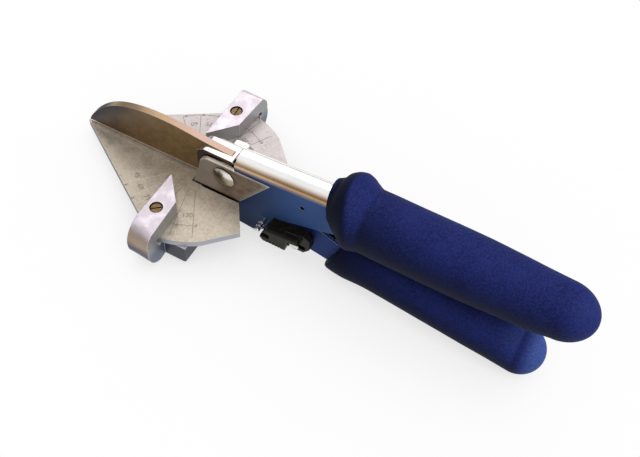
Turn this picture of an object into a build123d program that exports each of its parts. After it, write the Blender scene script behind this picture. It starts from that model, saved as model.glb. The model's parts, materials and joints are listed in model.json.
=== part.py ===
from build123d import *
import math
import os

# Hand mitre guillotine. Millimetres, +Z up, origin at the mitre centre on the
# anvil plate's top face. The blade tip points along -X and the handles along +X.

# Anvil plate
PLATE_THICK = 3.5
PLATE_ARC_R = 45.0          # round scale part, about the mitre centre
NOSE_X = -65.2              # tip of the triangular nose
NOSE_HALF_ANGLE = 32.7      # degrees from the centre line to a nose edge
NOSE_BLUNT = 1.2            # half width of the flat at the tip
FLANK_START_ANGLE = 55.4    # degrees from +X, where the arc turns into the flank
REAR_CORNER = (39.2, 23.0)
REAR_INNER_X = 29.5         # where the rear edge reaches the slot
SLOT_START_X = 2.0          # slot round the ears, open to the rear
SLOT_STEP_X = 8.0
SLOT_GAP_FRONT = 0.4        # ears to the slot's narrow front part
SLOT_GAP_REAR = 0.9
DIMPLE_CIRCLE_R = 35.5      # screw circle of the fences
DIMPLE_R = 0.9
DIMPLE_POINT_R = 0.05
DIMPLE_DEPTH = 0.5
DIMPLE_STEP = 15.0          # degrees between settings
DIMPLE_STEPS_TO_NOSE = 3
DIMPLE_STEPS_TO_HANDLE = 2

# Pressed channel: ears, bracket under the plate and upper handle
CHANNEL_HALF = 7.0
CHANNEL_WALL = 1.6
SPRING_LINE_Z = 21.2        # height of the round top's axis at its front edge
TOP_FRONT_X = 27.0          # front edge of the round top
TOP_SLOPE = 3.5             # degrees, rising to the rear
CHANNEL_REAR_X = 84.0
EAR_FOOT_X = 3.0
EAR_FOOT_Z = 0.5
EAR_TOP_Z = 21.6
EAR_NOSE = ((6.7, 11.3), (7.6, 17.0))
EAR_CORNER_R = 5.0
EAR_PLATE_THICK = 0.5       # plate on the outside of each ear
EAR_PLATE_REAR = ((46.4, 21.6), (29.5, 0.2))
EAR_PLATE_EDGE = 0.3        # chamfer round the plate
BRACKET_R = 35.0            # rear edge of the bracket, about the pivot
BRACKET_LOW_X = 36.0
BRACKET_BOTTOM = ((26.0, -16.5), (12.0, -6.5))
CHANNEL_UNDER = ((60.0, 2.2), (CHANNEL_REAR_X, 9.0))
FLANGE_THICK = 2.2
FLANGE_WIDTH = 7.0          # beyond the channel's side
FLANGE_START_X = 7.0
FLANGE_END_X = 25.0
FLANGE_CORNER_R = 3.0

# Pivot
PIVOT = (21.0, 13.8)        # x, z of the hinge axis
BOLT_R = 4.0
BOLT_HEAD_R = 6.0
BOLT_HEAD_HEIGHT = 2.2
BOLT_HEAD_EDGE = 0.5        # upright rim, below the low dome
BUSH_WALL = 1.5
RUNNING_GAP = 0.05          # radial gap of every turning or sliding fit
NUT_ACROSS_FLATS = 13.0
NUT_THICK = 4.0
BOLT_END = 1.0              # bolt standing out of the nut
BOLT_END_CHAMFER = 0.5
NUT_ROUND_SHARE = 0.565     # nut's turned corners, share of the width across flats
NUT_CHAMFER = 0.6
WASHER_R = 8.0
WASHER_SIDE_GAP = 0.06

# Blade and its lever
BLADE_THICK = 3.5
BLADE_LIFT = 0.2            # cutting edge above the plate when closed
BLADE_BEVEL_HEIGHT = 1.8
BLADE_EDGE_FLAT = 0.3
BLADE_TIP_INSET = 1.2       # tip behind the plate's nose
BLADE_HEEL_X = 1.0
BLADE_NOSE = ((0.0, 1.4), (2.4, 6.4), (7.8, 13.3), (18.7, 21.9), (31.0, 26.3), (43.0, 27.8))
BLADE_SPINE = ((-5.0, 27.2), (6.0, 25.7), (24.5, 24.0), (46.0, 20.0))
BLADE_UNDER = ((46.0, 6.0), (24.0, 5.0), (4.0, 3.0))
WASHER_ROOM = 0.6           # between a cheek and the channel's wall
CHEEK_NOSE_X = 4.4
CHEEK_TOP_Z = 24.2
CHEEK_TOP_END_X = 24.5
CHEEK_STEP = (26.6, 22.6)    # clears the channel's round top as the lever swings
CHEEK_FOOT = ((16.0, 4.4), (9.0, 8.4))
CHEEK_REAR_FOOT = (30.0, 4.4)
CHEEK_CORNER_R = 5.5
CHEEK_BACK = ((48.0, 14.0), (48.0, -6.0))
LEVER_SIDE_GAP = 0.3        # lever to the channel's inner wall
LEVER_WALL = 1.6
LEVER_TOP = ((42.0, 15.0), (73.0, 2.6), (84.0, -2.4))
LEVER_UNDER = ((76.8, -17.5), (64.3, -14.8), (50.0, -8.6), (40.0, -0.5))
LEVER_FRONT = ((34.0, 4.0), (34.0, 17.0))
LEVER_REAR_LOW = (84.0, -18.6)
LEVER_POCKET_X = (49.0, 54.0)   # front end at its top and at its floor
LEVER_POCKET_STEP = 3.0
RIVET_R = 2.0
RIVET_PLACES = ((30.5, 16.5), (30.5, 8.0))

# Return spring between the handles
SPRING_X = 63.6
SPRING_PIN_Z = 16.9
SPRING_PIN = (SPRING_X, SPRING_PIN_Z)
SPRING_PIN_R = 1.25
SPRING_PIN_INSET = 0.9      # pin's ends inside the channel's sides
SPRING_MEAN_R = 2.6
SPRING_WIRE_R = 0.5
SPRING_TURNS = 9
CUP_BOSS_R = 2.7
CUP_BOSS_HALF = 4.0
CUP_FLANGE_R = 3.3
CUP_FLANGE_THICK = 1.0
CUP_DROP = 4.4              # pin axis to the flange's underside
STUD_R = 1.9
STUD_RISE = 1.5             # flange of the stud above the sloping web
STUD_HEIGHT = 3.2
STUD_FOOT_INSET = 0.2       # stud's foot above the web's underside
SEAT_GAP = 0.05             # spring end to its seat

# Safety catch on the near side
CATCH_TRAVEL = 4.5
CATCH_SIDE_GAP = 0.3        # catch to the channel, and its pad to the lever
CATCH_BASE_THICK = 4.7
CATCH_THUMB_THICK = 3.5
CATCH_SWEEP_GAP = 0.43      # front edge to the peg as the lever swings
CATCH_FRONT_X = (45.6, 47.2, 48.7)
CATCH_LOW_Z = -10.6
CATCH_FOOT_CUT = 2.0
CATCH_FOOT_REACH = 0.9      # foot in front of the edge that passes the peg
CATCH_TOP = (57.0, 0.6)
CATCH_REAR = ((67.5, 2.6), (70.6, 0.6), (70.6, -6.0), (67.4, -9.8))
CATCH_THUMB_REAR = ((65.4, 1.4), (66.2, -2.4), (60.0, -3.2), (58.8, -10.6))
CATCH_PAD = ((57.5, -9.0), (68.6, -4.2))
CATCH_EDGE_R = 1.1
PEG = (43.0, -5.2)
PEG_R = 1.5
PEG_INSET = 0.3             # peg's end behind the catch's outer face
PEG_CHAMFER = 0.4
PEG_GROOVES = (2.2, 4.4)    # grooves round the peg, from its end
PEG_GROOVE_WIDTH = 0.5
PEG_GROOVE_DEPTH = 0.25
PEG_GAP = 0.35
MOUTH_SPARE = 1.6           # mouth beyond the peg with the catch forward
CATCH_SCREW = (62.6, -6.4)
CATCH_SCREW_R = 1.5
CATCH_SCREW_HEAD_R = 2.7
CATCH_SCREW_HEAD_HEIGHT = 1.7
CATCH_SCREW_HEAD_GAP = 0.1
CATCH_SCREW_DOME_SHARE = 0.75
GROOVES = 5
GROOVE_PITCH = 1.6
GROOVE_HALF = 0.35
GROOVE_DEPTH = 0.7
GROOVE_LAST_X = 56.2
GROOVE_SHORT = 0.6          # groove's top below the mouth

# Mitre fences
FENCE_FACE_X = -4.0         # face the work lies against, at 90 degrees
FENCE_REAR_X = 7.4          # rear face at its inner end
FENCE_REAR_SLOPE = 0.06     # growth of the rear face's x per mm outwards
FENCE_TIP_Y = 15.0
FENCE_CUT_END_Y = 28.2      # slanting inner end, from the tip to the rear face
FENCE_TOP_Z = 9.0
FENCE_JAW_THICK = 10.75
FENCE_RIM_GAP = 1.2         # slot root, outside the plate's rim
FENCE_RIM_WALL = 7.6        # metal outside the slot root, at its thickest
FENCE_CURVE_DEPTH = 10.8    # half round side, from its ends to its crown
# Squarer outer sides: top end in, corner in and down, crown out and its height,
# lower part in, that part's rise, low end in
NEAR_REAR_SIDE = (3.8, 0.5, 1.2, 0.8, 2.0, 0.2, 6.0, 6.8)
FAR_FACE_SIDE = (5.2, 1.9, 2.4, 0.0, -2.0, 3.0, 3.6, 10.0)
FAR_REAR_SIDE = (5.0, 2.4, 2.4, -1.0, 0.0, 2.6, 5.0, 8.4)
FENCE_JAW_LENGTH = 14.0     # jaw under the plate, inwards from the rim
FENCE_SLOT_GAP = 0.35       # plate to slot, above and below
KEYHOLE_R = 1.7
KEYHOLE_SINK_SHARE = 0.4    # keyhole's centre below the slot's top, share of its radius
LUG_END_X = 20.5
LUG_INSET = 0.8             # lug's outer side, inside the outer curve
LUG_ROUND = 2.0
FENCE_SCREW_X = 1.2
FENCE_SCREW_R = 2.6
FENCE_SCREW_RECESS = 0.5
FENCE_SCREW_TIP_GAP = 0.1
FENCE_SCREW_CONE = 1.4
FENCE_SCREW_POINT_R = 0.4
FENCE_SINK_R = 3.25
FENCE_SINK_DEPTH = 1.4
FENCE_SCREW_SLOT = 0.8
FENCE_SCREW_SLOT_DEPTH = 1.0
FAR_SCREW_TURN = 95         # slot's turn from the X axis
NEAR_SCREW_TURN = 38

# Screws under the plate
PLATE_SCREW_X = (10.5, 21.5)
PLATE_SCREW_INSET = 3.8     # beyond the channel's side
PLATE_SCREW_R = 1.5
PLATE_SCREW_HEAD_R = 2.7
PLATE_SCREW_HEAD_HEIGHT = 1.8
PLATE_SCREW_DEPTH = 2.4
PLATE_SCREW_SLOT = 0.8

# Grips: x, axis height, half width, half height, then a rounded end
UPPER_GRIP = ((76.0, 25.8, 8.1, 11.5), (77.2, 24.8, 9.4, 11.9), (79.0, 24.6, 10.9, 13.1),
              (81.0, 25.4, 13.0, 15.3), (83.0, 25.2, 14.2, 17.1), (85.0, 24.8, 15.2, 18.5),
              (87.5, 23.5, 16.9, 19.0), (89.5, 22.1, 17.3, 18.6), (92.0, 21.2, 16.4, 17.6),
              (96.0, 20.5, 14.9, 16.7), (102.0, 20.4, 15.1, 16.6), (117.0, 20.1, 15.1, 16.6),
              (132.0, 20.0, 15.2, 16.5), (146.0, 19.9, 15.1, 16.4), (165.0, 19.8, 14.4, 15.6),
              (178.0, 19.4, 14.0, 15.0), (188.0, 20.0, 12.9, 14.8))
UPPER_GRIP_END = 16.7
LOWER_GRIP = ((74.0, -10.9, 9.6, 11.0), (80.0, -10.7, 11.3, 12.0), (85.0, -10.7, 12.3, 12.5),
              (90.0, -10.6, 12.9, 12.8), (98.0, -10.4, 12.8, 13.1), (108.0, -11.0, 13.1, 13.4),
              (120.0, -12.1, 13.5, 13.7), (135.0, -14.0, 13.8, 13.9), (150.0, -16.5, 13.7, 14.0),
              (165.0, -19.7, 13.0, 14.0), (177.0, -23.6, 11.8, 13.8))
LOWER_GRIP_END = 12.8
LOWER_GRIP_FRONT = ((70.1, -33.8), (86.6, 4.0))     # the slanting front, square to the lever's top
GRIP_END_ANGLES = (16, 32, 48, 62, 74, 84)
TANG_WALL = 1.6
TANG_HALF_HEIGHT = 7.5
UPPER_TANG_INSET = 1.0      # tang's side, inside the channel's side
UPPER_TANG = ((79.0, 22.0), (186.0, 19.6))
LOWER_TANG = ((82.0, -10.6), (178.0, -21.9))

# Worked out
INNER_HALF = CHANNEL_HALF - CHANNEL_WALL
EAR_HALF = CHANNEL_HALF + EAR_PLATE_THICK
PLATE_SLOT_REAR = EAR_HALF + SLOT_GAP_REAR
PLATE_SCREW_Y = CHANNEL_HALF + PLATE_SCREW_INSET
LEVER_HALF = INNER_HALF - LEVER_SIDE_GAP
CHEEK_HALF = INNER_HALF - WASHER_ROOM
UPPER_TANG_HALF = CHANNEL_HALF - UPPER_TANG_INSET
CATCH_BACK_Y = CHANNEL_HALF + CATCH_SIDE_GAP
CATCH_MID_Y = CATCH_BACK_Y + CATCH_BASE_THICK
CATCH_FRONT_Y = CATCH_MID_Y + CATCH_THUMB_THICK
CATCH_SWEEP_R = math.hypot(PEG[0] - PIVOT[0], PEG[1] - PIVOT[1]) + PEG_R + CATCH_SWEEP_GAP
MOUTH_END_X = PEG[0] + PEG_R + CATCH_TRAVEL + MOUTH_SPARE
FENCE_SLOT_Y = PLATE_ARC_R + FENCE_RIM_GAP
FENCE_OUTER_Y = FENCE_SLOT_Y + FENCE_RIM_WALL
FENCE_REACH_Y = FENCE_OUTER_Y + FENCE_RIM_WALL     # beyond the fence
FENCE_BEND_Y = FENCE_OUTER_Y - FENCE_CURVE_DEPTH
FENCE_JAW_Y = PLATE_ARC_R - FENCE_JAW_LENGTH
FENCE_JAW_TOP_Z = -PLATE_THICK - FENCE_SLOT_GAP
FENCE_LOW_Z = FENCE_JAW_TOP_Z - FENCE_JAW_THICK
LUG_OUTER_Y = FENCE_BEND_Y - LUG_INSET
BLADE_TIP_X = NOSE_X + BLADE_TIP_INSET
FLANGE_LOW_Z = -PLATE_THICK - FLANGE_THICK
FAR = 400.0                 # beyond the whole tool
PAST = 1.0                  # how far a cut goes past the face that it opens


def save(name, shape):
    """Writes one sub-part to its own STEP file."""
    export_step(shape, f"parts/{name}.step")


def wall(points, low_y, high_y):
    """Upright slab with an XZ outline, from low_y to high_y."""
    outline = points if isinstance(points, (Curve, Wire)) else Polyline(*points, close=True)
    face = Plane.XZ * make_face(outline)
    return Pos(0, low_y, 0) * extrude(face, amount=high_y - low_y, dir=(0, 1, 0))


def cross_pin(place, radius, low_y, high_y):
    """Round bar along Y through an XZ place."""
    middle = (low_y + high_y) / 2
    return Pos(place[0], middle, place[1]) * Rot(90, 0, 0) * Cylinder(radius, high_y - low_y)


def upright(x, y, radius, low_z, high_z):
    """Round bar along Z."""
    return Pos(x, y, (low_z + high_z) / 2) * Cylinder(radius, high_z - low_z)


def block(low, high):
    """Box between two corners."""
    size = [b - a for a, b in zip(low, high)]
    middle = [(a + b) / 2 for a, b in zip(low, high)]
    return Pos(*middle) * Box(*size)


def on_pivot_circle(radius, x):
    """Lower point of a circle about the pivot, at a given x."""
    return (x, PIVOT[1] - math.sqrt(radius ** 2 - (x - PIVOT[0]) ** 2))


def top_axis_z(x):
    """Height of the round top's axis."""
    return SPRING_LINE_Z + (x - TOP_FRONT_X) * math.tan(math.radians(TOP_SLOPE))


def top_bar(radius, start_x, end_x):
    """Round bar along the axis of the channel's top."""
    length = (end_x - start_x) / math.cos(math.radians(TOP_SLOPE))
    start = Plane(origin=(start_x, 0, top_axis_z(start_x)), x_dir=(0, 1, 0),
                  z_dir=(math.cos(math.radians(TOP_SLOPE)), 0, math.sin(math.radians(TOP_SLOPE))))
    return extrude(start * Circle(radius), amount=length)


def anvil_outline():
    """Half outline of the plate, from the nose to the rear edge, in +Y."""
    nose_slope = math.tan(math.radians(NOSE_HALF_ANGLE))
    arc_end = polar(PLATE_ARC_R, FLANK_START_ANGLE)
    # the nose edge meets the arc where its line reaches the arc radius
    reach = NOSE_X - NOSE_BLUNT / nose_slope
    a = 1 + nose_slope ** 2
    b = -2 * reach * nose_slope ** 2
    c = (reach * nose_slope) ** 2 - PLATE_ARC_R ** 2
    arc_start_x = (-b + math.sqrt(b * b - 4 * a * c)) / (2 * a)
    arc_start = (arc_start_x, (arc_start_x - reach) * nose_slope)
    middle_angle = (math.degrees(math.atan2(arc_start[1], arc_start[0])) + FLANK_START_ANGLE) / 2
    return arc_start, polar(PLATE_ARC_R, middle_angle), arc_end


def polar(radius, degrees):
    """Point in the plate's plane, angles from the handle side."""
    return (radius * math.cos(math.radians(degrees)), radius * math.sin(math.radians(degrees)))


def plate_half():
    """One half of the plate, from the centre line outwards."""
    arc_start, arc_middle, arc_end = anvil_outline()
    inner_y = PLATE_SLOT_REAR
    edges = [
        Polyline((NOSE_X, 0), (NOSE_X, NOSE_BLUNT), arc_start),
        ThreePointArc(arc_start, arc_middle, arc_end),
        Polyline(arc_end, REAR_CORNER, (REAR_INNER_X, inner_y), (REAR_INNER_X, 0), (NOSE_X, 0)),
    ]
    return make_face(Curve() + edges)


def dimple_angles():
    """Fence settings, in degrees from the 90 degree setting, towards the nose."""
    return [DIMPLE_STEP * i for i in range(-DIMPLE_STEPS_TO_HANDLE, DIMPLE_STEPS_TO_NOSE + 1)]


def anvil_plate():
    half = extrude(plate_half(), amount=-PLATE_THICK)
    plate = half + mirror(half, about=Plane.XZ)
    front_half = EAR_HALF + SLOT_GAP_FRONT
    deep = PLATE_THICK + PAST
    plate -= block((SLOT_START_X, -front_half, -deep), (SLOT_STEP_X + PAST, front_half, PAST))
    plate -= block((SLOT_STEP_X, -PLATE_SLOT_REAR, -deep), (FAR, PLATE_SLOT_REAR, PAST))
    start = math.degrees(math.atan2(DIMPLE_CIRCLE_R, FENCE_SCREW_X))
    radius = math.hypot(DIMPLE_CIRCLE_R, FENCE_SCREW_X)
    for angle in dimple_angles():
        x, y = polar(radius, start + angle)
        for side in (1, -1):
            dimple = Cone(DIMPLE_POINT_R, DIMPLE_R, DIMPLE_DEPTH)
            plate -= Pos(x, side * y, -DIMPLE_DEPTH / 2) * dimple
    for x, y in plate_screw_places():
        plate -= upright(x, y, PLATE_SCREW_R, -PLATE_THICK, PLATE_SCREW_DEPTH - PLATE_THICK)
    return plate


def plate_screw_places():
    return [(x, side * PLATE_SCREW_Y) for x in PLATE_SCREW_X for side in (1, -1)]


def anvil_screws():
    head_low = FLANGE_LOW_Z - PLATE_SCREW_HEAD_HEIGHT
    half = PLATE_SCREW_SLOT / 2
    screws = []
    for x, y in plate_screw_places():
        shank = upright(x, y, PLATE_SCREW_R, FLANGE_LOW_Z, PLATE_SCREW_DEPTH - PLATE_THICK)
        head = upright(x, y, PLATE_SCREW_HEAD_R, head_low, FLANGE_LOW_Z)
        slot = block((x - FAR, y - half, head_low - PAST),
                     (x + FAR, y + half, head_low + PLATE_SCREW_SLOT))
        screws.append(shank + head - slot)
    return Compound(children=screws)


def ear_front(start):
    """Front and top of an ear, from a low point to the end of the rounded corner."""
    corner_x, corner_z = EAR_NOSE[1][0], EAR_TOP_Z
    cut = EAR_CORNER_R * (1 - math.sqrt(0.5))
    corner_start = (corner_x, corner_z - EAR_CORNER_R)
    corner_end = (corner_x + EAR_CORNER_R, corner_z)
    front = Polyline(start, (EAR_FOOT_X, EAR_FOOT_Z), EAR_NOSE[0], corner_start)
    corner = ThreePointArc(corner_start, (corner_x + cut, corner_z - cut), corner_end)
    return [front, corner], corner_end


def ear_plate(side):
    """Flat plate on the outside of an ear, with a slanting rear edge."""
    (rear_x, rear_z), low_rear = EAR_PLATE_REAR
    edges, corner_end = ear_front(low_rear)
    edges.append(Polyline(corner_end, (rear_x, rear_z), low_rear))
    low_y, high_y = sorted((side * INNER_HALF, side * EAR_HALF))
    plate = wall(Curve() + edges, low_y, high_y)
    outer = plate.faces().sort_by(Axis.Y)[-1 if side > 0 else 0]
    return chamfer(outer.edges(), EAR_PLATE_EDGE)


def channel_outline():
    """Side outline of the channel's walls."""
    low = on_pivot_circle(BRACKET_R, BRACKET_LOW_X)
    meet_x = bracket_meet_x()
    meet = on_pivot_circle(BRACKET_R, meet_x)
    middle = on_pivot_circle(BRACKET_R, (BRACKET_LOW_X + meet_x) / 2)
    rear_top = (CHANNEL_REAR_X, top_axis_z(CHANNEL_REAR_X))
    front_low = (EAR_FOOT_X, FLANGE_LOW_Z)
    ear, corner_end = ear_front(front_low)
    top = Polyline(corner_end, (TOP_FRONT_X, EAR_TOP_Z), (TOP_FRONT_X, SPRING_LINE_Z), rear_top,
                   CHANNEL_UNDER[1], CHANNEL_UNDER[0], meet)
    bracket = ThreePointArc(meet, middle, low)
    bottom = Polyline(low, BRACKET_BOTTOM[0], BRACKET_BOTTOM[1], front_low)
    return Curve() + [*ear, top, bracket, bottom]


def bracket_meet_x():
    """Where the bracket's arc meets the channel's sloping underside."""
    (x0, z0), (x1, z1) = CHANNEL_UNDER
    slope = (z1 - z0) / (x1 - x0)
    a = 1 + slope ** 2
    dz = z0 - slope * x0 - PIVOT[1]
    b = -2 * PIVOT[0] + 2 * slope * dz
    c = PIVOT[0] ** 2 + dz ** 2 - BRACKET_R ** 2
    return (-b + math.sqrt(b * b - 4 * a * c)) / (2 * a)


def channel_envelope():
    """Channel as if it were solid."""
    walls = wall(channel_outline(), -CHANNEL_HALF, CHANNEL_HALF)
    return walls + top_bar(CHANNEL_HALF, TOP_FRONT_X, CHANNEL_REAR_X)


def tang_bar(ends, half, half_height):
    """Flat-sided bar along a handle, from one XZ end to the other."""
    (x0, z0), (x1, z1) = ends
    angle = math.degrees(math.atan2(z1 - z0, x1 - x0))
    length = math.hypot(x1 - x0, z1 - z0)
    bar = Box(length, 2 * half, 2 * half_height, align=(Align.MIN, Align.CENTER, Align.CENTER))
    return Pos(x0, 0, z0) * Rot(0, -angle, 0) * bar


def tang(ends, half, open_side):
    """U section along a handle. open_side is 1 if open upwards, -1 if downwards."""
    bar = tang_bar(ends, half, TANG_HALF_HEIGHT)
    (x0, z0), (x1, z1) = ends
    shift = open_side * (TANG_WALL + PAST) / 2
    inner_ends = ((x0 - PAST, z0 + shift), (x1 + PAST, z1 + shift))
    return bar - tang_bar(inner_ends, half - TANG_WALL, TANG_HALF_HEIGHT + (PAST - TANG_WALL) / 2)


def frame_channel():
    walls = channel_envelope()
    hollow = wall(((-FAR, -FAR), (FAR, -FAR), (FAR, top_axis_z(FAR)), (TOP_FRONT_X, SPRING_LINE_Z),
                   (TOP_FRONT_X, FAR), (-FAR, FAR)), -INNER_HALF, INNER_HALF)
    hollow += top_bar(INNER_HALF, TOP_FRONT_X - PAST, CHANNEL_REAR_X + PAST)
    channel = walls - hollow
    channel += tang(UPPER_TANG, UPPER_TANG_HALF, -1)
    for side in (1, -1):
        channel += flange(side)
        channel += ear_plate(side)
    channel -= cross_pin(PIVOT, BOLT_R + RUNNING_GAP, -FAR, FAR)
    channel -= cross_pin(SPRING_PIN, SPRING_PIN_R, -FAR, FAR)
    channel -= cross_pin(PEG, PEG_R, -FAR, 0)
    return channel


def flange(side):
    """Tab bent outwards under the plate, with its two screw holes."""
    top = -PLATE_THICK
    low_y, high_y = sorted((side * INNER_HALF, side * (CHANNEL_HALF + FLANGE_WIDTH)))
    tab = block((FLANGE_START_X, low_y, FLANGE_LOW_Z), (FLANGE_END_X, high_y, top))
    corners = tab.edges().filter_by(Axis.Z).group_by(Axis.Y)[-1 if side > 0 else 0]
    tab = fillet(corners, FLANGE_CORNER_R)
    for x in PLATE_SCREW_X:
        tab -= upright(x, side * PLATE_SCREW_Y, PLATE_SCREW_R, FLANGE_LOW_Z - PAST, top + PAST)
    return tab


def pivot_bolt():
    end_y = EAR_HALF + NUT_THICK + BOLT_END
    shank = cross_pin(PIVOT, BOLT_R, -EAR_HALF, end_y)
    head = cross_pin(PIVOT, BOLT_HEAD_R, -EAR_HALF - BOLT_HEAD_HEIGHT, -EAR_HALF)
    dome_height = BOLT_HEAD_HEIGHT - BOLT_HEAD_EDGE
    dome_r = (BOLT_HEAD_R ** 2 + dome_height ** 2) / (2 * dome_height)
    head &= Pos(PIVOT[0], dome_r - EAR_HALF - BOLT_HEAD_HEIGHT, PIVOT[1]) * Sphere(dome_r)
    bolt = shank + head
    return chamfer(bolt.edges().filter_by(GeomType.CIRCLE).sort_by(Axis.Y)[-1], BOLT_END_CHAMFER)


def pivot_nut():
    plane = Plane(origin=(PIVOT[0], EAR_HALF, PIVOT[1]), x_dir=(1, 0, 0), z_dir=(0, 1, 0))
    hexagon = RegularPolygon(NUT_ACROSS_FLATS / 2, 6, major_radius=False)
    nut = extrude(plane * hexagon, amount=NUT_THICK)
    turned_r = NUT_ACROSS_FLATS * NUT_ROUND_SHARE
    round_off = cross_pin(PIVOT, turned_r, EAR_HALF, EAR_HALF + NUT_THICK)
    outer_rim = round_off.edges().filter_by(GeomType.CIRCLE).sort_by(Axis.Y)[-1]
    round_off = chamfer(outer_rim, NUT_CHAMFER)
    return (nut & round_off) - cross_pin(PIVOT, BOLT_R, -FAR, FAR)


def thrust_washers():
    low = CHEEK_HALF + WASHER_SIDE_GAP
    high = INNER_HALF - WASHER_SIDE_GAP
    bore = BOLT_R + RUNNING_GAP
    washers = []
    for side in (1, -1):
        low_y, high_y = sorted((side * low, side * high))
        disc = cross_pin(PIVOT, WASHER_R, low_y, high_y)
        washers.append(disc - cross_pin(PIVOT, bore, -FAR, FAR))
    return Compound(children=washers)


def spring_pin():
    half = CHANNEL_HALF - SPRING_PIN_INSET
    return cross_pin(SPRING_PIN, SPRING_PIN_R, -half, half)


def spring_cup():
    """Boss on the cross pin, with a flange and a stub that centre the spring."""
    flange_low = SPRING_PIN_Z - CUP_DROP
    cup = cross_pin(SPRING_PIN, CUP_BOSS_R, -CUP_BOSS_HALF, CUP_BOSS_HALF)
    cup += upright(SPRING_X, 0, CUP_FLANGE_R, flange_low, SPRING_PIN_Z)
    for side in (1, -1):
        low_x, high_x = sorted((SPRING_X + side * CUP_BOSS_R, SPRING_X + side * FAR))
        cup -= block((low_x, -FAR, flange_low + CUP_FLANGE_THICK), (high_x, FAR, SPRING_PIN_Z))
    cup += upright(SPRING_X, 0, STUD_R, flange_low - STUD_HEIGHT, flange_low)
    return cup - cross_pin(SPRING_PIN, SPRING_PIN_R + RUNNING_GAP, -FAR, FAR)


def latch_peg():
    peg = cross_pin(PEG, PEG_R, PEG_INSET - CATCH_FRONT_Y, -INNER_HALF)
    end = peg.edges().filter_by(GeomType.CIRCLE).sort_by(Axis.Y)[0]
    peg = chamfer(end, PEG_CHAMFER)
    for place in PEG_GROOVES:
        low = PEG_INSET - CATCH_FRONT_Y + place
        groove = cross_pin(PEG, 2 * PEG_R, low, low + PEG_GROOVE_WIDTH)
        peg -= groove - cross_pin(PEG, PEG_R - PEG_GROOVE_DEPTH, -FAR, FAR)
    return peg


def lever_under_z(x):
    """Height of the lever's underside."""
    points = sorted(LEVER_UNDER)
    for (x0, z0), (x1, z1) in zip(points, points[1:]):
        if x0 <= x <= x1:
            return z0 + (z1 - z0) * (x - x0) / (x1 - x0)
    return points[-1][1]


def cheek_outline():
    """Front part of the lever, on both sides of the blade."""
    r = CHEEK_CORNER_R
    corner_low = (CHEEK_NOSE_X, CHEEK_TOP_Z - r)
    corner_high = (CHEEK_NOSE_X + r, CHEEK_TOP_Z)
    cut = r * (1 - math.sqrt(0.5))
    middle = (CHEEK_NOSE_X + cut, CHEEK_TOP_Z - cut)
    return Curve() + [
        Polyline(*CHEEK_FOOT, (CHEEK_NOSE_X, CHEEK_TOP_Z - 2 * r), corner_low),
        ThreePointArc(corner_low, middle, corner_high),
        Polyline(corner_high, (CHEEK_TOP_END_X, CHEEK_TOP_Z), CHEEK_STEP, *CHEEK_BACK, LEVER_UNDER[-1],
                 CHEEK_REAR_FOOT, CHEEK_FOOT[0]),
    ]


def lever_points():
    """Side outline of the lever's U section, up to the lower grip."""
    return (LEVER_FRONT[1], *LEVER_TOP, LEVER_REAR_LOW, *LEVER_UNDER, LEVER_FRONT[0])


def lever_pocket():
    """Side outline of the space between the lever's walls, open at the top and rear."""
    floor = [(x, z + LEVER_WALL) for x, z in (LEVER_REAR_LOW, *LEVER_UNDER[:2])]
    front_top, front_low = LEVER_POCKET_X
    front_z = lever_under_z(front_low) + LEVER_WALL
    return [(front_top, FAR), (FAR, FAR), (FAR, floor[0][1]), *floor,
            (front_low, front_z), (front_top, front_z + LEVER_POCKET_STEP)]


def lower_lever():
    cheeks = wall(cheek_outline(), -CHEEK_HALF, CHEEK_HALF)
    body = wall(lever_points(), -LEVER_HALF, LEVER_HALF)
    inner = LEVER_HALF - LEVER_WALL
    body -= wall(lever_pocket(), -inner, inner)
    lever = body + cheeks + tang(LOWER_TANG, LEVER_HALF, 1)
    half = BLADE_THICK / 2
    lever -= wall(blade_outline(), -half, half)
    lever -= cross_pin(PIVOT, BOLT_R + RUNNING_GAP + BUSH_WALL, -FAR, FAR)
    for place in RIVET_PLACES:
        lever -= cross_pin(place, RIVET_R, -FAR, FAR)
    lever -= cross_pin(CATCH_SCREW, CATCH_SCREW_R, -FAR, 0)
    seat = lever_under_z(SPRING_X) + LEVER_WALL
    lever -= upright(SPRING_X, 0, STUD_R, seat - LEVER_WALL - PAST, seat + PAST)
    return lever


def blade_outline():
    """Side outline of the blade: curved spine, heel and straight cutting edge."""
    nose = [(BLADE_TIP_X + behind, z) for behind, z in BLADE_NOSE]
    low = Polyline(BLADE_SPINE[-1], *BLADE_UNDER, (BLADE_HEEL_X, BLADE_LIFT),
                   (BLADE_TIP_X, BLADE_LIFT), nose[0])
    return Curve() + [Spline(*nose, *BLADE_SPINE), low]


def bevel_cut(side):
    """What is ground off one side of the cutting edge."""
    half = BLADE_THICK / 2
    flat = BLADE_EDGE_FLAT / 2
    high = BLADE_LIFT + BLADE_BEVEL_HEIGHT
    points = ((flat, 0), (flat, BLADE_LIFT), (half, high), (half + PAST, high), (half + PAST, 0))
    section = Plane.YZ * make_face(Polyline(*[(side * y, z) for y, z in points], close=True))
    start = BLADE_TIP_X - PAST
    return Pos(start, 0, 0) * extrude(section, amount=BLADE_UNDER[-1][0] - start)


def blade():
    half = BLADE_THICK / 2
    body = wall(blade_outline(), -half, half)
    for side in (1, -1):
        body -= bevel_cut(side)
    body -= cross_pin(PIVOT, BOLT_R + RUNNING_GAP + BUSH_WALL, -FAR, FAR)
    for place in RIVET_PLACES:
        body -= cross_pin(place, RIVET_R, -FAR, FAR)
    return body


def pivot_bush():
    bore = BOLT_R + RUNNING_GAP
    return (cross_pin(PIVOT, bore + BUSH_WALL, -CHEEK_HALF, CHEEK_HALF)
            - cross_pin(PIVOT, bore, -FAR, FAR))


def blade_rivets():
    pins = [cross_pin(place, RIVET_R, -CHEEK_HALF, CHEEK_HALF) for place in RIVET_PLACES]
    return Compound(children=pins)


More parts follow.
